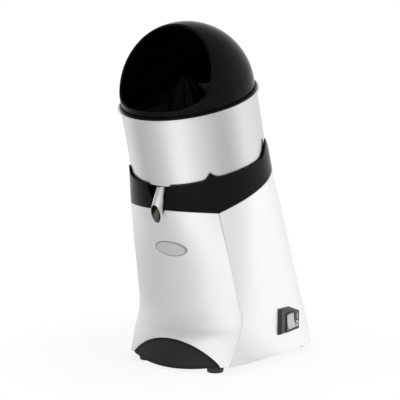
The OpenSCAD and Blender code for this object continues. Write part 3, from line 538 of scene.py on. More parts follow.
# Brightness of the studio's walls by azimuth, degrees from the front
WALLS = [(-180, 0.73), (-130, 0.66), (-102, 0.76), (-80, 0.62), (-62, 0.46), (-45, 0.52), (-27, 0.57),
         (-10, 0.72), (2, 0.94), (18, 1.0), (35, 0.81), (50, 0.70), (64, 0.61), (80, 0.50),
         (94, 0.48), (112, 0.66), (128, 0.87), (148, 0.84), (175, 0.74), (180, 0.73)]
WALL_GAIN = 1.24
CEILING = 0.75
# Heights of a direction between which the walls fade to the ceiling
FADE_FROM, FADE_TO = 0.3, 0.9


def studio_group():
    """Level of the studio's walls in a direction."""
    def build(group, start, end):
        split = add_node(group, "SeparateXYZ")
        flip = add_node(group, "Math", {"operation": "MULTIPLY"}, {1: -1})
        turn = add_node(group, "Math", {"operation": "ARCTAN2"})
        span = add_node(group, "MapRange", inputs={"From Min": -math.pi, "From Max": math.pi})
        ramp = add_node(group, "ValToRGB")
        ramp.color_ramp.interpolation = "EASE"
        stops = ramp.color_ramp.elements
        stops.remove(stops[0])
        for i, (degrees, level) in enumerate(WALLS):
            at = (degrees + 180) / 360
            stop = stops[0] if i == 0 else stops.new(at)
            stop.position = at
            stop.color = (level, level, level, 1)
        high = add_node(group, "MapRange", {"interpolation_type": "SMOOTHSTEP"}, {
            "From Min": FADE_FROM, "From Max": FADE_TO, "To Min": WALL_GAIN, "To Max": CEILING})
        level = add_node(group, "Math", {"operation": "MULTIPLY"})
        wire(group, (start, "Direction", split, "Vector"), (split, "Y", flip, 0), (split, "X", turn, 0),
             (flip, "Value", turn, 1), (turn, "Value", span, "Value"), (span, "Result", ramp, "Fac"),
             (split, "Z", high, "Value"), (ramp, "Color", level, 0), (high, "Result", level, 1),
             (level, "Value", end, "Level"))

    return shared_group("Studio Walls", {"Direction": (0, 0, 0)}, {"Level": "NodeSocketFloat"}, build)


def place_group(tree, group, **values):
    return add_node(tree, "Group", {"node_tree": group}, values)


def finish_of(name, shade, metallic=0, gloss=(0.3, 0.4), marks=14, texture="grain",
              fineness=900, depth=0.1, tint=0, specular=0.5):
    """A material: colour, a roughness range from handling marks, and grain or brushed lines."""
    material = bpy.data.materials.get(name)
    if material:
        return material
    material = bpy.data.materials.new(name)
    material.use_nodes = True
    tree = material.node_tree
    shader = tree.nodes["Principled BSDF"]
    set_inputs(shader, {
        "Base Color": (*shade, 1), "Metallic": metallic, "Specular IOR Level": specular})
    handled = place_group(tree, marks_group(), Scale=marks, Low=gloss[0], High=gloss[1])
    wire(tree, (handled, "Roughness", shader, "Roughness"))
    if texture == "brushed":
        effect = place_group(tree, brushed_group(), Fineness=fineness, Depth=depth)
    elif texture == "grain":
        effect = place_group(tree, grain_group(), Scale=fineness, Depth=depth)
    if texture:
        wire(tree, (effect, "Normal", shader, "Normal"))
    if tint:
        mix = add_node(tree, "Mix", {"data_type": "RGBA"}, {
            "A": (*[c * (1 - tint) for c in shade], 1),
            "B": (*[min(1, c * (1 + tint)) for c in shade], 1)})
        wire(tree, (effect, "Mask", mix, "Factor"), (mix, "Result", shader, "Base Color"))
    return material


def body_paint():
    return finish_of("Silver Paint", colours().paint, metallic=0.75, gloss=(0.29, 0.35), marks=6,
                     fineness=2400, depth=0.05, tint=0.03)


# Finishes of the slots that no other finish is made for: texture, colour, roughness range,
# fineness and depth of the texture
SLOT_LOOKS = {
    "plate_steel": ("brushed", (0.52, 0.53, 0.53), (0.35, 0.5), 900, 0.1),
    "screw_steel": ("brushed", (0.6, 0.6, 0.57), (0.25, 0.4), 1800, 0.1),
    "core_steel": ("brushed", (0.25, 0.26, 0.27), (0.4, 0.5), 1500, 0.6),
    "winding_copper": ("brushed", (0.6, 0.24, 0.1), (0.25, 0.35), 1200, 0.6),
    "shaft_steel": ("brushed", (0.66, 0.67, 0.68), (0.12, 0.2), 2600, 0.04),
    "bearing_steel": ("brushed", (0.6, 0.61, 0.62), (0.1, 0.18), 2600, 0.04),
    "cast_aluminium": ("grain", (0.5, 0.51, 0.52), (0.45, 0.6), 700, 0.4),
    "cage_aluminium": ("grain", (0.6, 0.61, 0.62), (0.4, 0.5), 800, 0.2),
    "strainer_plastic": ("grain", (0.03, 0.03, 0.033), (0.3, 0.4), 900, 0.1),
    "seal_rubber": ("grain", (0.02, 0.02, 0.02), (0.5, 0.6), 900, 0.2),
    "fan_plastic": ("grain", (0.045, 0.045, 0.05), (0.4, 0.5), 900, 0.15),
    "switch_black": ("grain", (0.012, 0.012, 0.013), (0.3, 0.38), 900, 0.12),
    "capacitor_white": ("grain", (0.7, 0.7, 0.67), (0.3, 0.4), 900, 0.05),
    "terminal_cream": ("grain", (0.62, 0.57, 0.42), (0.4, 0.5), 900, 0.1),
}


def slot_finish(slot):
    texture, shade, gloss, fineness, depth = SLOT_LOOKS[slot]
    metal = texture == "brushed" or slot.endswith("aluminium")
    return finish_of(slot.replace("_", " ").title(), shade, int(metal), gloss, texture=texture,
                     fineness=fineness, depth=depth)


# Operators: one for each piece or group of like pieces


def shell(name, ks, bottom_of, top_of, levels):
    """A shell of the body between two edges, with its wall and rounded edges."""
    columns = []
    for k in ks:
        top, bottom = top_of(k), bottom_of(k)
        columns.append([leaning(*outline(k, z), z) for z in gaps_between(bottom, top, levels)])
    piece = sheet_of(name, columns)
    modify(piece, "SOLIDIFY", thickness=WALL, offset=-1, use_even_offset=True)
    soften(piece, EDGE_ROUND)
    return piece


class JUICER_OT_housing(bpy.types.Operator):
    """Models the main housing: sides and rear in one shell"""

    bl_idname = "juicer.housing"
    bl_label = "Main Housing"

    def execute(self, context):
        first, fine, levels = 0.25, 4, 72
        ks = gaps_between(FRONT_END + first, ROUND - first, fine * (ROUND - FRONT_END))
        piece = shell("Main_Housing", [FRONT_END + CREASE_GAP, *ks, ROUND - CREASE_GAP],
                      lambda k: level_height(k, BODY_CLEAR), lambda k: seam_height(k) - SEAM, levels)
        dress(piece, "base", "silver_paint", body_paint(), "main_housing")
        return {"FINISHED"}


class JUICER_OT_front_panel(bpy.types.Operator):
    """Models the front panel with the arch for the toe insert and the notch under the spout"""

    bl_idname = "juicer.front_panel"
    bl_label = "Front Panel"

    def execute(self, context):
        half = sizes().toe_half
        radius = arch_radius(TOE_RISE)
        rounds, side_steps, middle_steps, levels = 12, 60, 24, 84

        def bottom(k):
            z = level_height(k, BODY_CLEAR)
            for _ in range(rounds):
                x = outline(k, z)[0]
                ground = BODY_CLEAR
                if abs(x) < half:
                    arch = TOE_EDGE + TOE_RISE - radius + math.sqrt((radius + SEAM) ** 2 - x * x)
                    ground = max(ground, arch)
                z = 0.5 * z + 0.5 * on_level(outline(k, z)[1], ground)
            return z

        def top(k):
            z = seam_height(k) - SEAM
            x, y = outline(k, z)
            if abs(x) < slot_radius():
                below = math.sqrt(slot_radius() ** 2 - x * x)
                z = min(z, spout_height(y) - below / math.cos(SPOUT_SLOPE))
            return z

        notch = 1.4  # Half of the finely stepped middle, in places along the outline
        ks = sorted({*gaps_between(CREASE_GAP, FRONT_MIDDLE - notch, side_steps),
                     *gaps_between(FRONT_MIDDLE - notch, FRONT_MIDDLE + notch, middle_steps),
                     *gaps_between(FRONT_MIDDLE + notch, FRONT_END - CREASE_GAP, side_steps)})
        piece = shell("Front_Panel", ks, bottom, top, levels)
        dress(piece, "base", "silver_paint", body_paint(), "front_panel")
        return {"FINISHED"}


class JUICER_OT_collar(bpy.types.Operator):
    """Models the collar with its peaks and the slot for the spout"""

    bl_idname = "juicer.collar"
    bl_label = "Collar"

    def execute(self, context):
        slot_level, front_steps, levels, wall = -0.12, 24, 14, 0.0022

        def beside_slot(share, side):
            """A route up the collar, from the slot's edge at share 0 to the corner at share 1."""
            def place(z):
                half = slot_half_width(z, front_point(0, z)[1])
                slot = FRONT_MIDDLE * half / share_of_bowl(CORNER_X, z)
                return FRONT_MIDDLE + side * (slot + (FRONT_MIDDLE - slot) * share)
            return place

        routes = [beside_slot(share, 1) for share in gaps_between(0, 1, front_steps)]
        round_steps = 3 * (ROUND - FRONT_END)
        routes += [lambda z, k=k: k for k in gaps_between(FRONT_END, ROUND, round_steps)[1:]]
        routes += [beside_slot(share, -1) for share in gaps_between(1, 0, front_steps)[1:]]
        places = []
        for route in routes:
            k = route(slot_level)
            heights = gaps_between(seam_height(k), collar_top(k), levels)
            places.append([leaning(*outline(route(z), z), z) for z in heights])
        piece = sheet_of("Collar", places)
        modify(piece, "SOLIDIFY", thickness=wall, offset=-1, use_even_offset=True)
        soften(piece, 0.0007, angle=40)
        dress(piece, "base", "collar_black", finish_of(
            "Collar Black", colours().collar, gloss=(0.18, 0.26), marks=16,
            fineness=1800, depth=0.04, tint=0.15, specular=0.07), "collar")
        return {"FINISHED"}


class JUICER_OT_bowl(bpy.types.Operator):
    """Turns the bowl with its rolled rim and chimney, and cuts the spout tube"""

    bl_idname = "juicer.bowl"
    bl_label = "Bowl and Spout"

    def execute(self, context):
        s = sizes()
        r, low, t = s.bowl_radius, -s.bowl_depth, s.sheet
        bore, stack, corner, foot_round = 0.014, 0.052, 0.004, 0.003
        overhang, bead = 0.0042, 0.0012
        # Outside up to the rolled rim, inside down to the floor, and the chimney round the shaft
        profile = [(bore, low - t)]
        profile += arc((r - corner, low - t + corner), corner, -90, 0, 8)
        profile += [(r, -0.012), (r, -0.004), (r + 0.0004, -0.0026), (r + 0.0014, -0.0016)]
        profile += arc((r + overhang - bead, -bead), bead, -150, 90, 14)
        profile += [(r, 0), (r - t * 0.6, -0.0003), (r - t, -0.0014)]
        profile += arc((r - corner, low + corner - t * 0.4), corner - t * 0.6, 0, -90, 8)
        profile += arc((bore + t + foot_round, low + foot_round), foot_round, -90, -180, 5)
        profile += arc((bore + t / 2, low + stack - t / 2), t / 2, 0, 180, 6)
        piece = turned("Bowl", profile, leaning_matrix(), steps=160)
        axis = (leaning_matrix() @ Matrix.Translation((0, -SPOUT_REACH, -SPOUT_DROP))
                @ Matrix.Rotation(math.pi / 2 + SPOUT_SLOPE, 4, "X"))
        inner = s.spout_radius - t
        deep, shallow = -0.060, -0.040
        drill = [(0, deep), (inner, deep), (inner, shallow), (0, shallow)]
        cut(piece, turned("Drill", drill, axis, steps=40, ring=False))
        dress(piece, "bowl", "bowl_steel", finish_of(
            "Satin Steel", colours().steel, metallic=1, gloss=(0.27, 0.33), marks=9,
            texture="brushed", fineness=2600, depth=0.05, tint=0.03), "bowl", angle=28)
        to_bowl, to_tube = leaning_matrix().inverted(), axis.inverted()

        def inside(centre):
            spot = to_bowl @ centre
            return spot.xy.length < r - t / 2 and spot.z > low - t / 2

        # Painted shade: the inside of the bowl gets a far darker steel than the outside, standing in for
        # the shade under the hood
        second_finish(piece, finish_of(
            "Inner Steel", (0.05, 0.048, 0.045), metallic=1, gloss=(0.35, 0.42), marks=9,
            texture="brushed", fineness=2600, depth=0.05, tint=0.03), inside)

        outer, start, end = s.spout_radius, -0.10, 0.05
        wall = [(outer, start), (outer, end), (inner, end), (inner, start)]
        tube = turned("Spout", wall, axis, steps=64)
        keep = block("Keep", (-0.03, -SPOUT_REACH, -0.22), (0.03, 0, low - t), leaning_matrix())
        cut(tube, keep, "INTERSECT")
        soften(tube, 0.00035, angle=30, segments=2)
        dress(tube, "bowl", "bowl_steel", finish_of(
            "Spout Steel", colours().steel, metallic=1, gloss=(0.26, 0.32), marks=40,
            fineness=1500, depth=0.03), "spout_tube", angle=40)
        # Painted shade: the bore of the spout gets a dark steel, standing in for the shade inside the tube
        second_finish(tube, finish_of(
            "Spout Bore Painted Shade", (0.10, 0.088, 0.075), metallic=1, gloss=(0.22, 0.3), marks=40,
            fineness=1500, depth=0.03, specular=0.2), lambda c: (to_tube @ c).xy.length < inner + t / 4)
        return {"FINISHED"}


class JUICER_OT_hood(bpy.types.Operator):
    """Turns the dome with its foot ring and cuts the mouth out of it"""

    bl_idname = "juicer.hood"
    bl_label = "Hood"

    def execute(self, context):
        s = sizes()
        r, rise, wall = s.hood_radius, s.hood_rise, s.hood_wall
        inner = r - wall
        foot, step, gap, lip = 0.0026, 0.001, 0.0003, 0.0006
        flange = s.bowl_radius + 2 * lip
        spigot, spigot_low = s.bowl_radius - s.sheet - 2 * gap, -0.012
        profile = arc((0, rise), r, 90, 0, 72)
        profile += [(r, foot + step), (r - step, foot + step * 0.8), (r - step, foot)]
        profile += arc((flange - lip, foot - lip), lip, 90, 0, 3)
        profile += [(flange, gap), (spigot, gap), (spigot, spigot_low), (spigot - wall, spigot_low),
                    (spigot - wall, foot), (inner, foot)]
        profile += arc((0, rise), inner, 0, 90, 60)
        piece = turned("Hood", profile, Matrix(), steps=200, ring=False)
        sill, forward, slope, round_off, far = 0.0112, 0.0623, math.radians(57), 0.050, 0.2
        reach = round_off / math.tan((math.pi - slope) / 2)
        corners = [(-far, far), (-far, sill)]
        centre = (-forward - reach, sill + round_off)
        corners += arc(centre, round_off, -90, -90 + math.degrees(slope), 24)
        corners += [(-forward + far * math.cos(slope), sill + far * math.sin(slope))]
        cut(piece, prism("Mouth", corners, 0.3, SIDEWAYS))
        soften(piece, 0.0010, angle=50, segments=3)
        settle(piece, leaning_matrix())
        dress(piece, "hood", "hood_black", finish_of(
            "Hood Black", colours().hood, gloss=(0.10, 0.16), marks=11,
            fineness=60, depth=0.01, specular=0.07), "hood", angle=30)
        return {"FINISHED"}


class JUICER_OT_reamer(bpy.types.Operator):
    """Models the ribbed reamer cone"""

    bl_idname = "juicer.reamer"
    bl_label = "Reamer"

    def execute(self, context):
        s = sizes()
        base, lip, high, shoulder = -0.035, 0.004, 0.062, 0.0055
        stand, slimming, per_rib = 0.0028, 0.62, 16
        hub_bore, hub_radius, hub_low = 0.0063, 0.013, -0.048
        places = []
        for i in range(s.rib_count * per_rib + 1):
            phase = i / per_rib % 1
            rib = max(0, math.cos(2 * math.pi * phase)) ** 1.5
            turn = 2 * math.pi * i / (s.rib_count * per_rib)
            column = [(s.reamer_radius - shoulder, base), (s.reamer_radius, base),
                      (s.reamer_radius, base + lip)]
            for t in gaps_between(0, 1, 28):
                slim = (1 - t) ** slimming
                q = (s.reamer_radius - stand - 0.001) * slim
                q += stand * rib * min(1, slim * 2.2) * min(1, t * 14 + 0.2)
                column.append((q, base + lip + high * t))
            places.append([leaning(math.cos(turn) * q, math.sin(turn) * q, z) for q, z in column])
        piece = sheet_of("Reamer", places)
        hub = [(hub_bore, hub_low), (hub_radius, hub_low), (hub_radius, 0), (hub_bore, 0)]
        piece = join("Reamer", [piece, turned("Hub", hub, leaning_matrix(), steps=40)])
        dress(piece, "reamer", "reamer_plastic",
              finish_of("Reamer Plastic", (0.003, 0.0026, 0.0024), gloss=(0.3, 0.4), marks=30,
                        fineness=1400, depth=0.04, specular=0.03), "reamer", angle=50)
        return {"FINISHED"}


class JUICER_OT_toe(bpy.types.Operator):
    """Models the rubber toe insert, with a raised border"""

    bl_idname = "juicer.toe"
    bl_label = "Toe Insert"

    def execute(self, context):
        half = sizes().toe_half
        rise, sag = arch_radius(TOE_RISE), arch_radius(TOE_SAG)
        border, proud, sink, thick = 0.0022, 0.0012, 0.0006, 0.006

        def edges(x):
            """Heights of the lower and the upper edge at x."""
            return (TOE_EDGE - TOE_SAG + sag - math.sqrt(max(sag ** 2 - x * x, 0)),
                    TOE_EDGE + TOE_RISE - rise + math.sqrt(max(rise ** 2 - x * x, 0)))

        places = []
        for u in gaps_between(-1, 1, 120):
            x = half * math.sin(u * math.pi / 2)
            low, top = edges(x)
            high = top - low
            brim = min(border, high / 2)
            marks = [0, brim * 0.5, brim, brim * 1.25]
            inside = gaps_between(brim * 1.4, high - brim * 1.4, 10)
            column = []
            for h in sorted([*marks, *inside, *[high - m for m in marks]]):
                z = on_level(0, low + h)
                for _ in range(10):
                    y = front_point(x / share_of_bowl(CORNER_X, z), z)[1]
                    z = on_level(y, low + h)
                lift = proud if min(h, high - h) < brim * 1.1 else 0.0
                column.append(leaning(x, y - lift + sink, z))
            places.append(column)
        piece = sheet_of("Toe_Insert", places)
        modify(piece, "SOLIDIFY", thickness=thick, offset=-1, use_even_offset=False)
        soften(piece, 0.0005, angle=60, segments=2)
        dress(piece, "base", "toe_rubber", finish_of(
            "Toe Rubber", colours().rubber, gloss=(0.45, 0.55), marks=20,
            fineness=2600, depth=0.2, tint=0.12, specular=0.15), "toe_insert", angle=35)

        def on_border(centre):
            spot = centre - standing(0, 0, 0)
            low, top = edges(spot.x)
            return min(top - spot.z, spot.z - low) < border * 1.1

        second_finish(piece, finish_of(
            "Toe Border", (0.003, 0.003, 0.003), gloss=(0.25, 0.35), marks=20,
            fineness=1800, depth=0.05, specular=0.25), on_border)
        return {"FINISHED"}


class JUICER_OT_badge(bpy.types.Operator):
    """Models the bare oval badge plate with its thin rim"""

    bl_idname = "juicer.badge"
    bl_label = "Badge Plate"

    def execute(self, context):
        wide, high, thick, sink = 0.029, 0.0115, 0.0015, 0.0006
        drop, rim, step = -0.201, 0.07, 0.0005
        places = []
        rings = [(reach, thick - step) for reach in (0, 0.4, 0.75, 1 - 1.3 * rim)]
        rings += [(1 - 1.1 * rim, thick - 0.6 * step), (1 - 0.95 * rim, thick), (1 - 0.2 * rim, thick),
                  (1, thick - step), (1, -sink)]
        for turn in gaps_between(0, 2 * math.pi, 96):
            column = []
            for reach, out in rings:
                x, up = wide * reach * math.cos(turn), high * reach * math.sin(turn)
                z = drop + up
                y = front_point(x / share_of_bowl(CORNER_X, z), z)[1]
                column.append(leaning(x, y - out, z))
            places.append(column)
        piece = sheet_of("Badge_Plate", places)
        dress(piece, "base", "badge_metal", finish_of(
            "Badge Plate", (0.62, 0.625, 0.63), metallic=0.6, gloss=(0.3, 0.36),
            fineness=1800, depth=0.05, tint=0.02), "badge_plate", angle=40)
        middle = leaning(0, front_point(0, drop)[1], drop)

        def on_rim(centre):
            away = centre - middle
            return math.hypot(away.x / wide, away.z / (math.cos(sizes().lean) * high)) > 1 - 1.15 * rim

        second_finish(piece, finish_of(
            "Badge Rim", (0.33, 0.33, 0.34), metallic=1, gloss=(0.22, 0.3), texture=None), on_rim)
        return {"FINISHED"}


class JUICER_OT_feet(bpy.types.Operator):
    """Turns one rubber foot and copies it to the four corners"""

    bl_idname = "juicer.feet"
    bl_label = "Rubber Feet"

    def execute(self, context):
        high, r, neck, step = 0.0107, 0.013, 0.0083, 0.0008
        bore, screw, web = 0.0053, 0.0021, 0.003
        edge, sole_edge, sole = 0.0008, 0.0012, r - 0.001
        profile = [(screw, high + step), (neck, high + step), (neck, high), (r - edge, high)]
        profile += arc((r - edge, high - edge), edge, 90, 0, 4)
        profile += arc((sole - sole_edge, sole_edge), sole_edge, 0, -90, 5)
        profile += [(bore + edge, 0), (bore, edge), (bore, high - web), (screw, high - web)]
        feet = []
        for sx in (-1, 1):
            for sy in (-1, 1):
                place = standing(sx * FOOT_X, sy * FOOT_Y, 0)
                feet.append(turned("Foot", profile, Matrix.Translation(place), steps=48))
        piece = join("Rubber_Feet", feet)
        dress(piece, "base", "foot_rubber",
              finish_of("Foot Rubber", (0.02, 0.02, 0.02), gloss=(0.6, 0.7),
                        fineness=1600, depth=0.3, tint=0.2), "rubber_feet", angle=35)
        return {"FINISHED"}


class JUICER_OT_switch(bpy.types.Operator):
    """Models the switch housing, its frame, the rocker and the two marks"""

    bl_idname = "juicer.switch"
    bl_label = "Side Switch"

    def execute(self, context):
        long, high, root, round_off = 0.058, 0.039, 0.022, 0.002
        slope_start, slope_fall, drop = 0.026, 0.011, 0.004
        hair, root_sink, clear = 0.0001, 0.004, 0.0003
        place, turned_out, tilt = standing(0.1022, 0.033, 0.060), math.radians(6), math.radians(-9)
        at = Matrix.Translation(place) @ Matrix.Rotation(turned_out, 4, "Z")
        lowered = Matrix.Translation((0, 0, -drop))
        corners = [(-long / 2, -high / 2), (long / 2, -high / 2), (long / 2, high / 2 - slope_fall),
                   (slope_start - long / 2, high / 2), (-long / 2, high / 2)]
        case = prism("Switch_Housing", corners, root, Matrix.Translation((-root / 2, 0, 0)) @ SIDEWAYS)
        edit(case)
        select_faces(case, lambda c: c.x > -hair)
        bpy.ops.mesh.inset(thickness=round_off, depth=0)
        deselect()
        for v in case.data.vertices:
            if v.co.x > -hair and any(math.hypot(v.co.y - y, v.co.z - z) < hair for y, z in corners):
                v.co.x = -round_off
        cut(case, block("Well", (-0.03, -0.013, -0.014), (0.01, 0.013, 0.014), lowered))
        soften(case, 0.0008, angle=28, segments=3)
        settle(case, at)
        back = at.inverted()
        for v in case.data.vertices:
            if (back @ v.co).x < root_sink - root:
                v.co.x = housing_side(v.co.y, v.co.z) + clear
        black = slot_finish("switch_black")
        dress(case, "base", "switch_black", black, "switch_housing", angle=35)

        body = block("Switch_Frame", (-0.024, -0.0127, -0.0137), (0.001, 0.0127, 0.0137), lowered)
        brim = block("Brim", (0, -0.014, -0.015), (0.0012, 0.014, 0.015), lowered)
        for piece in (body, brim):
            cut(piece, block("Pocket", (-0.011, -0.0116, -0.0126), (0.01, 0.0116, 0.0126), lowered))
        soften(brim, 0.0004, angle=40, segments=2)
        body = join("Switch_Frame", [body, brim])
        settle(body, at)
        dress(body, "base", "switch_black", black, "switch_body", angle=35)

        half, front, wide, pin = 0.011, 0.0072, 0.0214, -0.0045
        axis = lowered @ Matrix.Translation((pin, 0, 0)) @ Matrix.Rotation(tilt, 4, "Y")
        curve = [(-0.003, -0.0037), (-0.003, 0.0037), (0, half - 0.001)]
        curve += [(front - 0.0012, half), (front - 0.0004, half - 0.0007)]
        curve += [(front - 0.0006 - 0.0012 * (1 - (z / half) ** 2), z)
                  for z in gaps_between(half - 0.002, 0.002 - half, 12)]
        curve += [(front - 0.0004, 0.0007 - half), (front - 0.0012, -half), (0, 0.001 - half)]
        rocker = prism("Switch_Rocker", curve, wide, axis @ UPRIGHT)
        soften(rocker, 0.0005, angle=25, segments=2)
        settle(rocker, at)
        dress(rocker, "rocker", "rocker_grey",
              finish_of("Rocker Grey", (0.34, 0.34, 0.335), gloss=(0.3, 0.38),
                        fineness=1700, depth=0.05, tint=0.05, specular=0.3), "switch_rocker", angle=30)

        white = finish_of("Mark White", (0.6, 0.6, 0.58), gloss=(0.4, 0.5), texture=None)
        proud, stroke_in, stroke_out = 0.0002, 0.0030, 0.0042
        bar = block("Mark_Bar", (-hair, 0.0200, -0.003), (proud, 0.0212, 0.005))
        ring = [(stroke_in, -hair), (stroke_out, -hair), (stroke_out, proud), (stroke_in, proud)]
        place = Matrix.Translation((0, 0.0205, -0.0105)) @ Matrix.Rotation(math.pi / 2, 4, "Y")
        marks = join("Switch_Marks", [bar, turned("Mark_Ring", ring, place, steps=40)])
        settle(marks, at)
        dress(marks, "base", "switch_black", white, angle=35)
        return {"FINISHED"}


def housing_side(y, z):
    """Half width of the body at a place on its right side."""
    s = sizes()
    c, n = math.cos(s.lean), math.sin(s.lean)
    forward = y - s.stand_back + s.rim_forward
    ly = forward * c + (z - s.rim_height) * n
    lz = -forward * n + (z - s.rim_height) * c
    low, high = FRONT_END, REAR_MIDDLE
    for _ in range(30):
        k = (low + high) / 2
        if outline(k, lz)[1] < ly:
            low = k
        else:
            high = k
    return outline(low, lz)[0] - s.stand_left


class JUICER_OT_gland(bpy.types.Operator):
    """Turns the ribbed cord gland on the rear wall"""

    bl_idname = "juicer.gland"
    bl_label = "Cord Gland"

    def execute(self, context):
        height, aside, clear = 0.054, -0.020, 0.0003
        ribs, pitch, taper, groove = 4, 0.0014, 0.0006, 0.0009
        z = level_height(REAR_MIDDLE, height)
        place = Matrix.Translation((aside, outline(REAR_MIDDLE, z)[1] + clear, z))
        at = leaning_matrix() @ place @ Matrix.Rotation(-math.pi / 2, 4, "X")
        # The shank, the flange, the ribbed sleeve and the bore for the cord
        profile = [(0.004, -0.016), (0.008, -0.016), (0.008, 0), (0.0111, 0), (0.0115, 0.0004),
                   (0.0115, 0.0046), (0.0111, 0.005), (0.00975, 0.005), (0.0094, 0.0064),
                   (0.0088, 0.0066)]
        for i in range(ribs):
            z, r = 0.0068 + i * pitch, 0.0088 - i * taper
            profile += [(r, z), (r - 0.0002, z + 0.0007), (r - groove, z + 0.0008),
                        (r - groove, z + 0.0013)]
        profile += [(0.0062, 0.0130), (0.0046, 0.0130), (0.004, 0.0124)]
        piece = turned("Cord_Gland", profile, at, steps=56)
        dress(piece, "base", "switch_black", finish_of(
            "Gland Black", (0.014, 0.014, 0.015), gloss=(0.4, 0.5), fineness=1500,
            depth=0.2, tint=0.15), "cord_gland", angle=35)
        return {"FINISHED"}


class JUICER_OT_carried(bpy.types.Operator):
    """Gives a finish to every CAD node that is shown as it is"""

    bl_idname = "juicer.carried"
    bl_label = "Carried Over Parts"

    def execute(self, context):
        slots = {row["node"]: row["material_slot"] for row in frame["record"]["subparts"]}
        for node, piece in frame["nodes"].items():
            if slots[node] in SLOT_LOOKS:
                piece.data.materials.clear()
                piece.data.materials.append(slot_finish(slots[node]))
        return {"FINISHED"}


WHITE = (1, 1, 1, 1)
FLOOR_GREY = 0.85
# Distances from the object between which the floor's shadow fades to white, and its share at the start
SHADOW_NEAR, SHADOW_FAR, SHADOW_START = 0.15, 0.38, 0.84
PLAIN_LIGHT = 0.55
LIGHT_AIM = 0.25


def mixed(tree, node, output, first, second):
    """A mix of two shaders, by another node's output."""
    mix = add_node(tree, "MixShader")
    wire(tree, (node, output, mix, "Fac"), (first, 0, mix, 1), (second, 0, mix, 2))
    return mix


def white_and_walls(tree, kind, coordinates):
    """Shaders of plain white and of the studio's walls, with their coordinates and the light path."""
    white = add_node(tree, kind, inputs={"Color": WHITE, "Strength": 1})
    walls = add_node(tree, kind, inputs={"Color": WHITE})
    place, studio = add_node(tree, "TexCoord"), place_group(tree, studio_group())
    wire(tree, (place, coordinates, studio, "Direction"), (studio, "Level", walls, "Strength"))
    return white, walls, place, add_node(tree, "LightPath")


def floor_material():
    """White paper for the camera that keeps the shadow, and the studio's walls for reflections."""
    pale = bpy.data.materials.new("Floor White")
    pale.use_nodes = True
    tree = pale.node_tree
    ground = tree.nodes["Principled BSDF"]
    set_inputs(ground, {
        "Base Color": (*[FLOOR_GREY] * 3, 1), "Roughness": 1, "Specular IOR Level": 0})
    paper, walls, place, path = white_and_walls(tree, "Emission", "Object")
    far = add_node(tree, "VectorMath", {"operation": "LENGTH"})
    fade = add_node(tree, "MapRange", {"interpolation_type": "SMOOTHSTEP"}, {
        "From Min": SHADOW_NEAR, "From Max": SHADOW_FAR, "To Min": SHADOW_START, "To Max": 1})
    lit = add_node(tree, "Math", {"operation": "MULTIPLY"})
    wire(tree, (place, "Object", far, 0), (far, "Value", fade, "Value"),
         (path, "Is Camera Ray", lit, 0), (fade, "Result", lit, 1))
    seen = mixed(tree, lit, "Value", ground, paper)
    mirrored = mixed(tree, path, "Is Glossy Ray", seen, walls)
    wire(tree, (mirrored, "Shader", tree.nodes["Material Output"], "Surface"))
    return pale


def studio_world():
    """White for the camera, the studio's walls for reflections, plain light for the rest."""
    world = bpy.data.worlds.new("Studio")
    world.use_nodes = True
    tree = world.node_tree
    plain = tree.nodes["Background"]
    set_inputs(plain, {"Color": WHITE, "Strength": PLAIN_LIGHT})
    white, walls, _, path = white_and_walls(tree, "Background", "Generated")
    shiny = mixed(tree, path, "Is Glossy Ray", plain, walls)
    seen = mixed(tree, path, "Is Camera Ray", shiny, white)
    wire(tree, (seen, "Shader", tree.nodes["World Output"], "Surface"))
    return world


def direction(azimuth, elevation):
    """Unit vector towards a place round the object, in degrees from the front and above the floor."""
    a, e = math.radians(azimuth), math.radians(elevation)
    return Vector((math.sin(a) * math.cos(e), -math.cos(a) * math.cos(e), math.sin(e)))


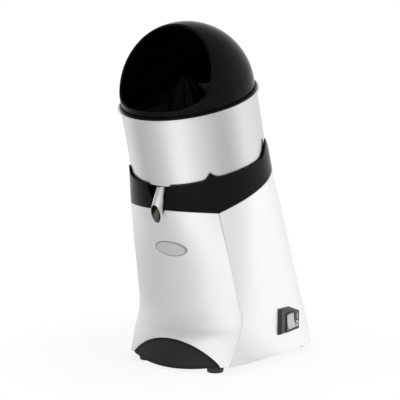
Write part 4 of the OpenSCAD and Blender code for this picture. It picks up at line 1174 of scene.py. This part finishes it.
class JUICER_OT_stage(bpy.types.Operator):
    """Sets up the floor, the studio light and the camera"""

    bl_idname = "juicer.stage"
    bl_label = "Stage"

    def execute(self, context):
        scene = context.scene
        scene.view_settings.view_transform = "Standard"
        deselect()
        bpy.ops.mesh.primitive_plane_add(size=40)
        floor = context.object
        floor.name = "Floor"
        floor.data.materials.append(floor_material())
        scene.world = studio_world()

        # Azimuth, elevation, distance, width, height and power in watts
        for name, azimuth, elevation, far, wide, high, power in (
            ("Key Light", 92, 12, 1.8, 1.2, 1.2, 31),
            ("Fill Light", -60, 20, 2.0, 1.4, 1.4, 9),
            ("Front Light", 30, 12, 2.6, 1.4, 1.0, 3),
            ("Top Light", 170, 75, 1.6, 1.2, 1.2, 6),
        ):
            lamp = bpy.data.lights.new(name, "AREA")
            lamp.shape = "RECTANGLE"
            lamp.size, lamp.size_y = wide, high
            lamp.energy = power
            holder = bpy.data.objects.new(name, lamp)
            scene.collection.objects.link(holder)
            back = direction(azimuth, elevation)
            holder.location = Vector((0, 0, LIGHT_AIM)) + back * far
            holder.rotation_mode = "QUATERNION"
            holder.rotation_quaternion = back.to_track_quat("Z", "Y")
            holder.visible_glossy = False

        azimuth, elevation, far, lens = 38, 5.6, 2.633, 162.7
        aim_right, aim_down = 0.0170, 0.1513
        rim, back, right = leaning(0, 0, 0), direction(azimuth, elevation), direction(azimuth + 90, 0)
        aim = rim + aim_right * right - aim_down * back.cross(right)
        camera = bpy.data.objects.new("Camera", bpy.data.cameras.new("Camera"))
        scene.collection.objects.link(camera)
        camera.data.sensor_width = 36
        camera.data.lens = lens
        camera.data.clip_end = 100
        camera.location = rim + back * far
        camera.rotation_mode = "QUATERNION"
        camera.rotation_quaternion = (camera.location - aim).to_track_quat("Z", "Y")
        scene.camera = camera
        return {"FINISHED"}


STEPS = (JUICER_OT_carried, JUICER_OT_housing, JUICER_OT_front_panel, JUICER_OT_toe, JUICER_OT_badge,
         JUICER_OT_collar, JUICER_OT_bowl, JUICER_OT_hood, JUICER_OT_reamer, JUICER_OT_feet,
         JUICER_OT_switch, JUICER_OT_gland, JUICER_OT_stage)


class JUICER_PT_steps(bpy.types.Panel):
    bl_idname = "JUICER_PT_steps"
    bl_label = "Citrus Juicer"
    bl_space_type = "VIEW_3D"
    bl_region_type = "UI"
    bl_category = "Juicer"

    def draw(self, context):
        for group in (context.scene.juicer_sizes, context.scene.juicer_colours):
            for name in group.__annotations__:
                self.layout.prop(group, name)
        for step in STEPS:
            self.layout.operator(step.bl_idname)


CLASSES = (JuicerSizes, JuicerColours, *STEPS, JUICER_PT_steps)


def register():
    for c in CLASSES:
        bpy.utils.register_class(c)
    bpy.types.Scene.juicer_sizes = bpy.props.PointerProperty(type=JuicerSizes)
    bpy.types.Scene.juicer_colours = bpy.props.PointerProperty(type=JuicerColours)


def unregister():
    del bpy.types.Scene.juicer_colours
    del bpy.types.Scene.juicer_sizes
    for c in reversed(CLASSES):
        bpy.utils.unregister_class(c)


def main():
    register()
    for step in STEPS:
        group, name = step.bl_idname.split(".")
        getattr(getattr(bpy.ops, group), name)()


if __name__ == "__main__":
    main()
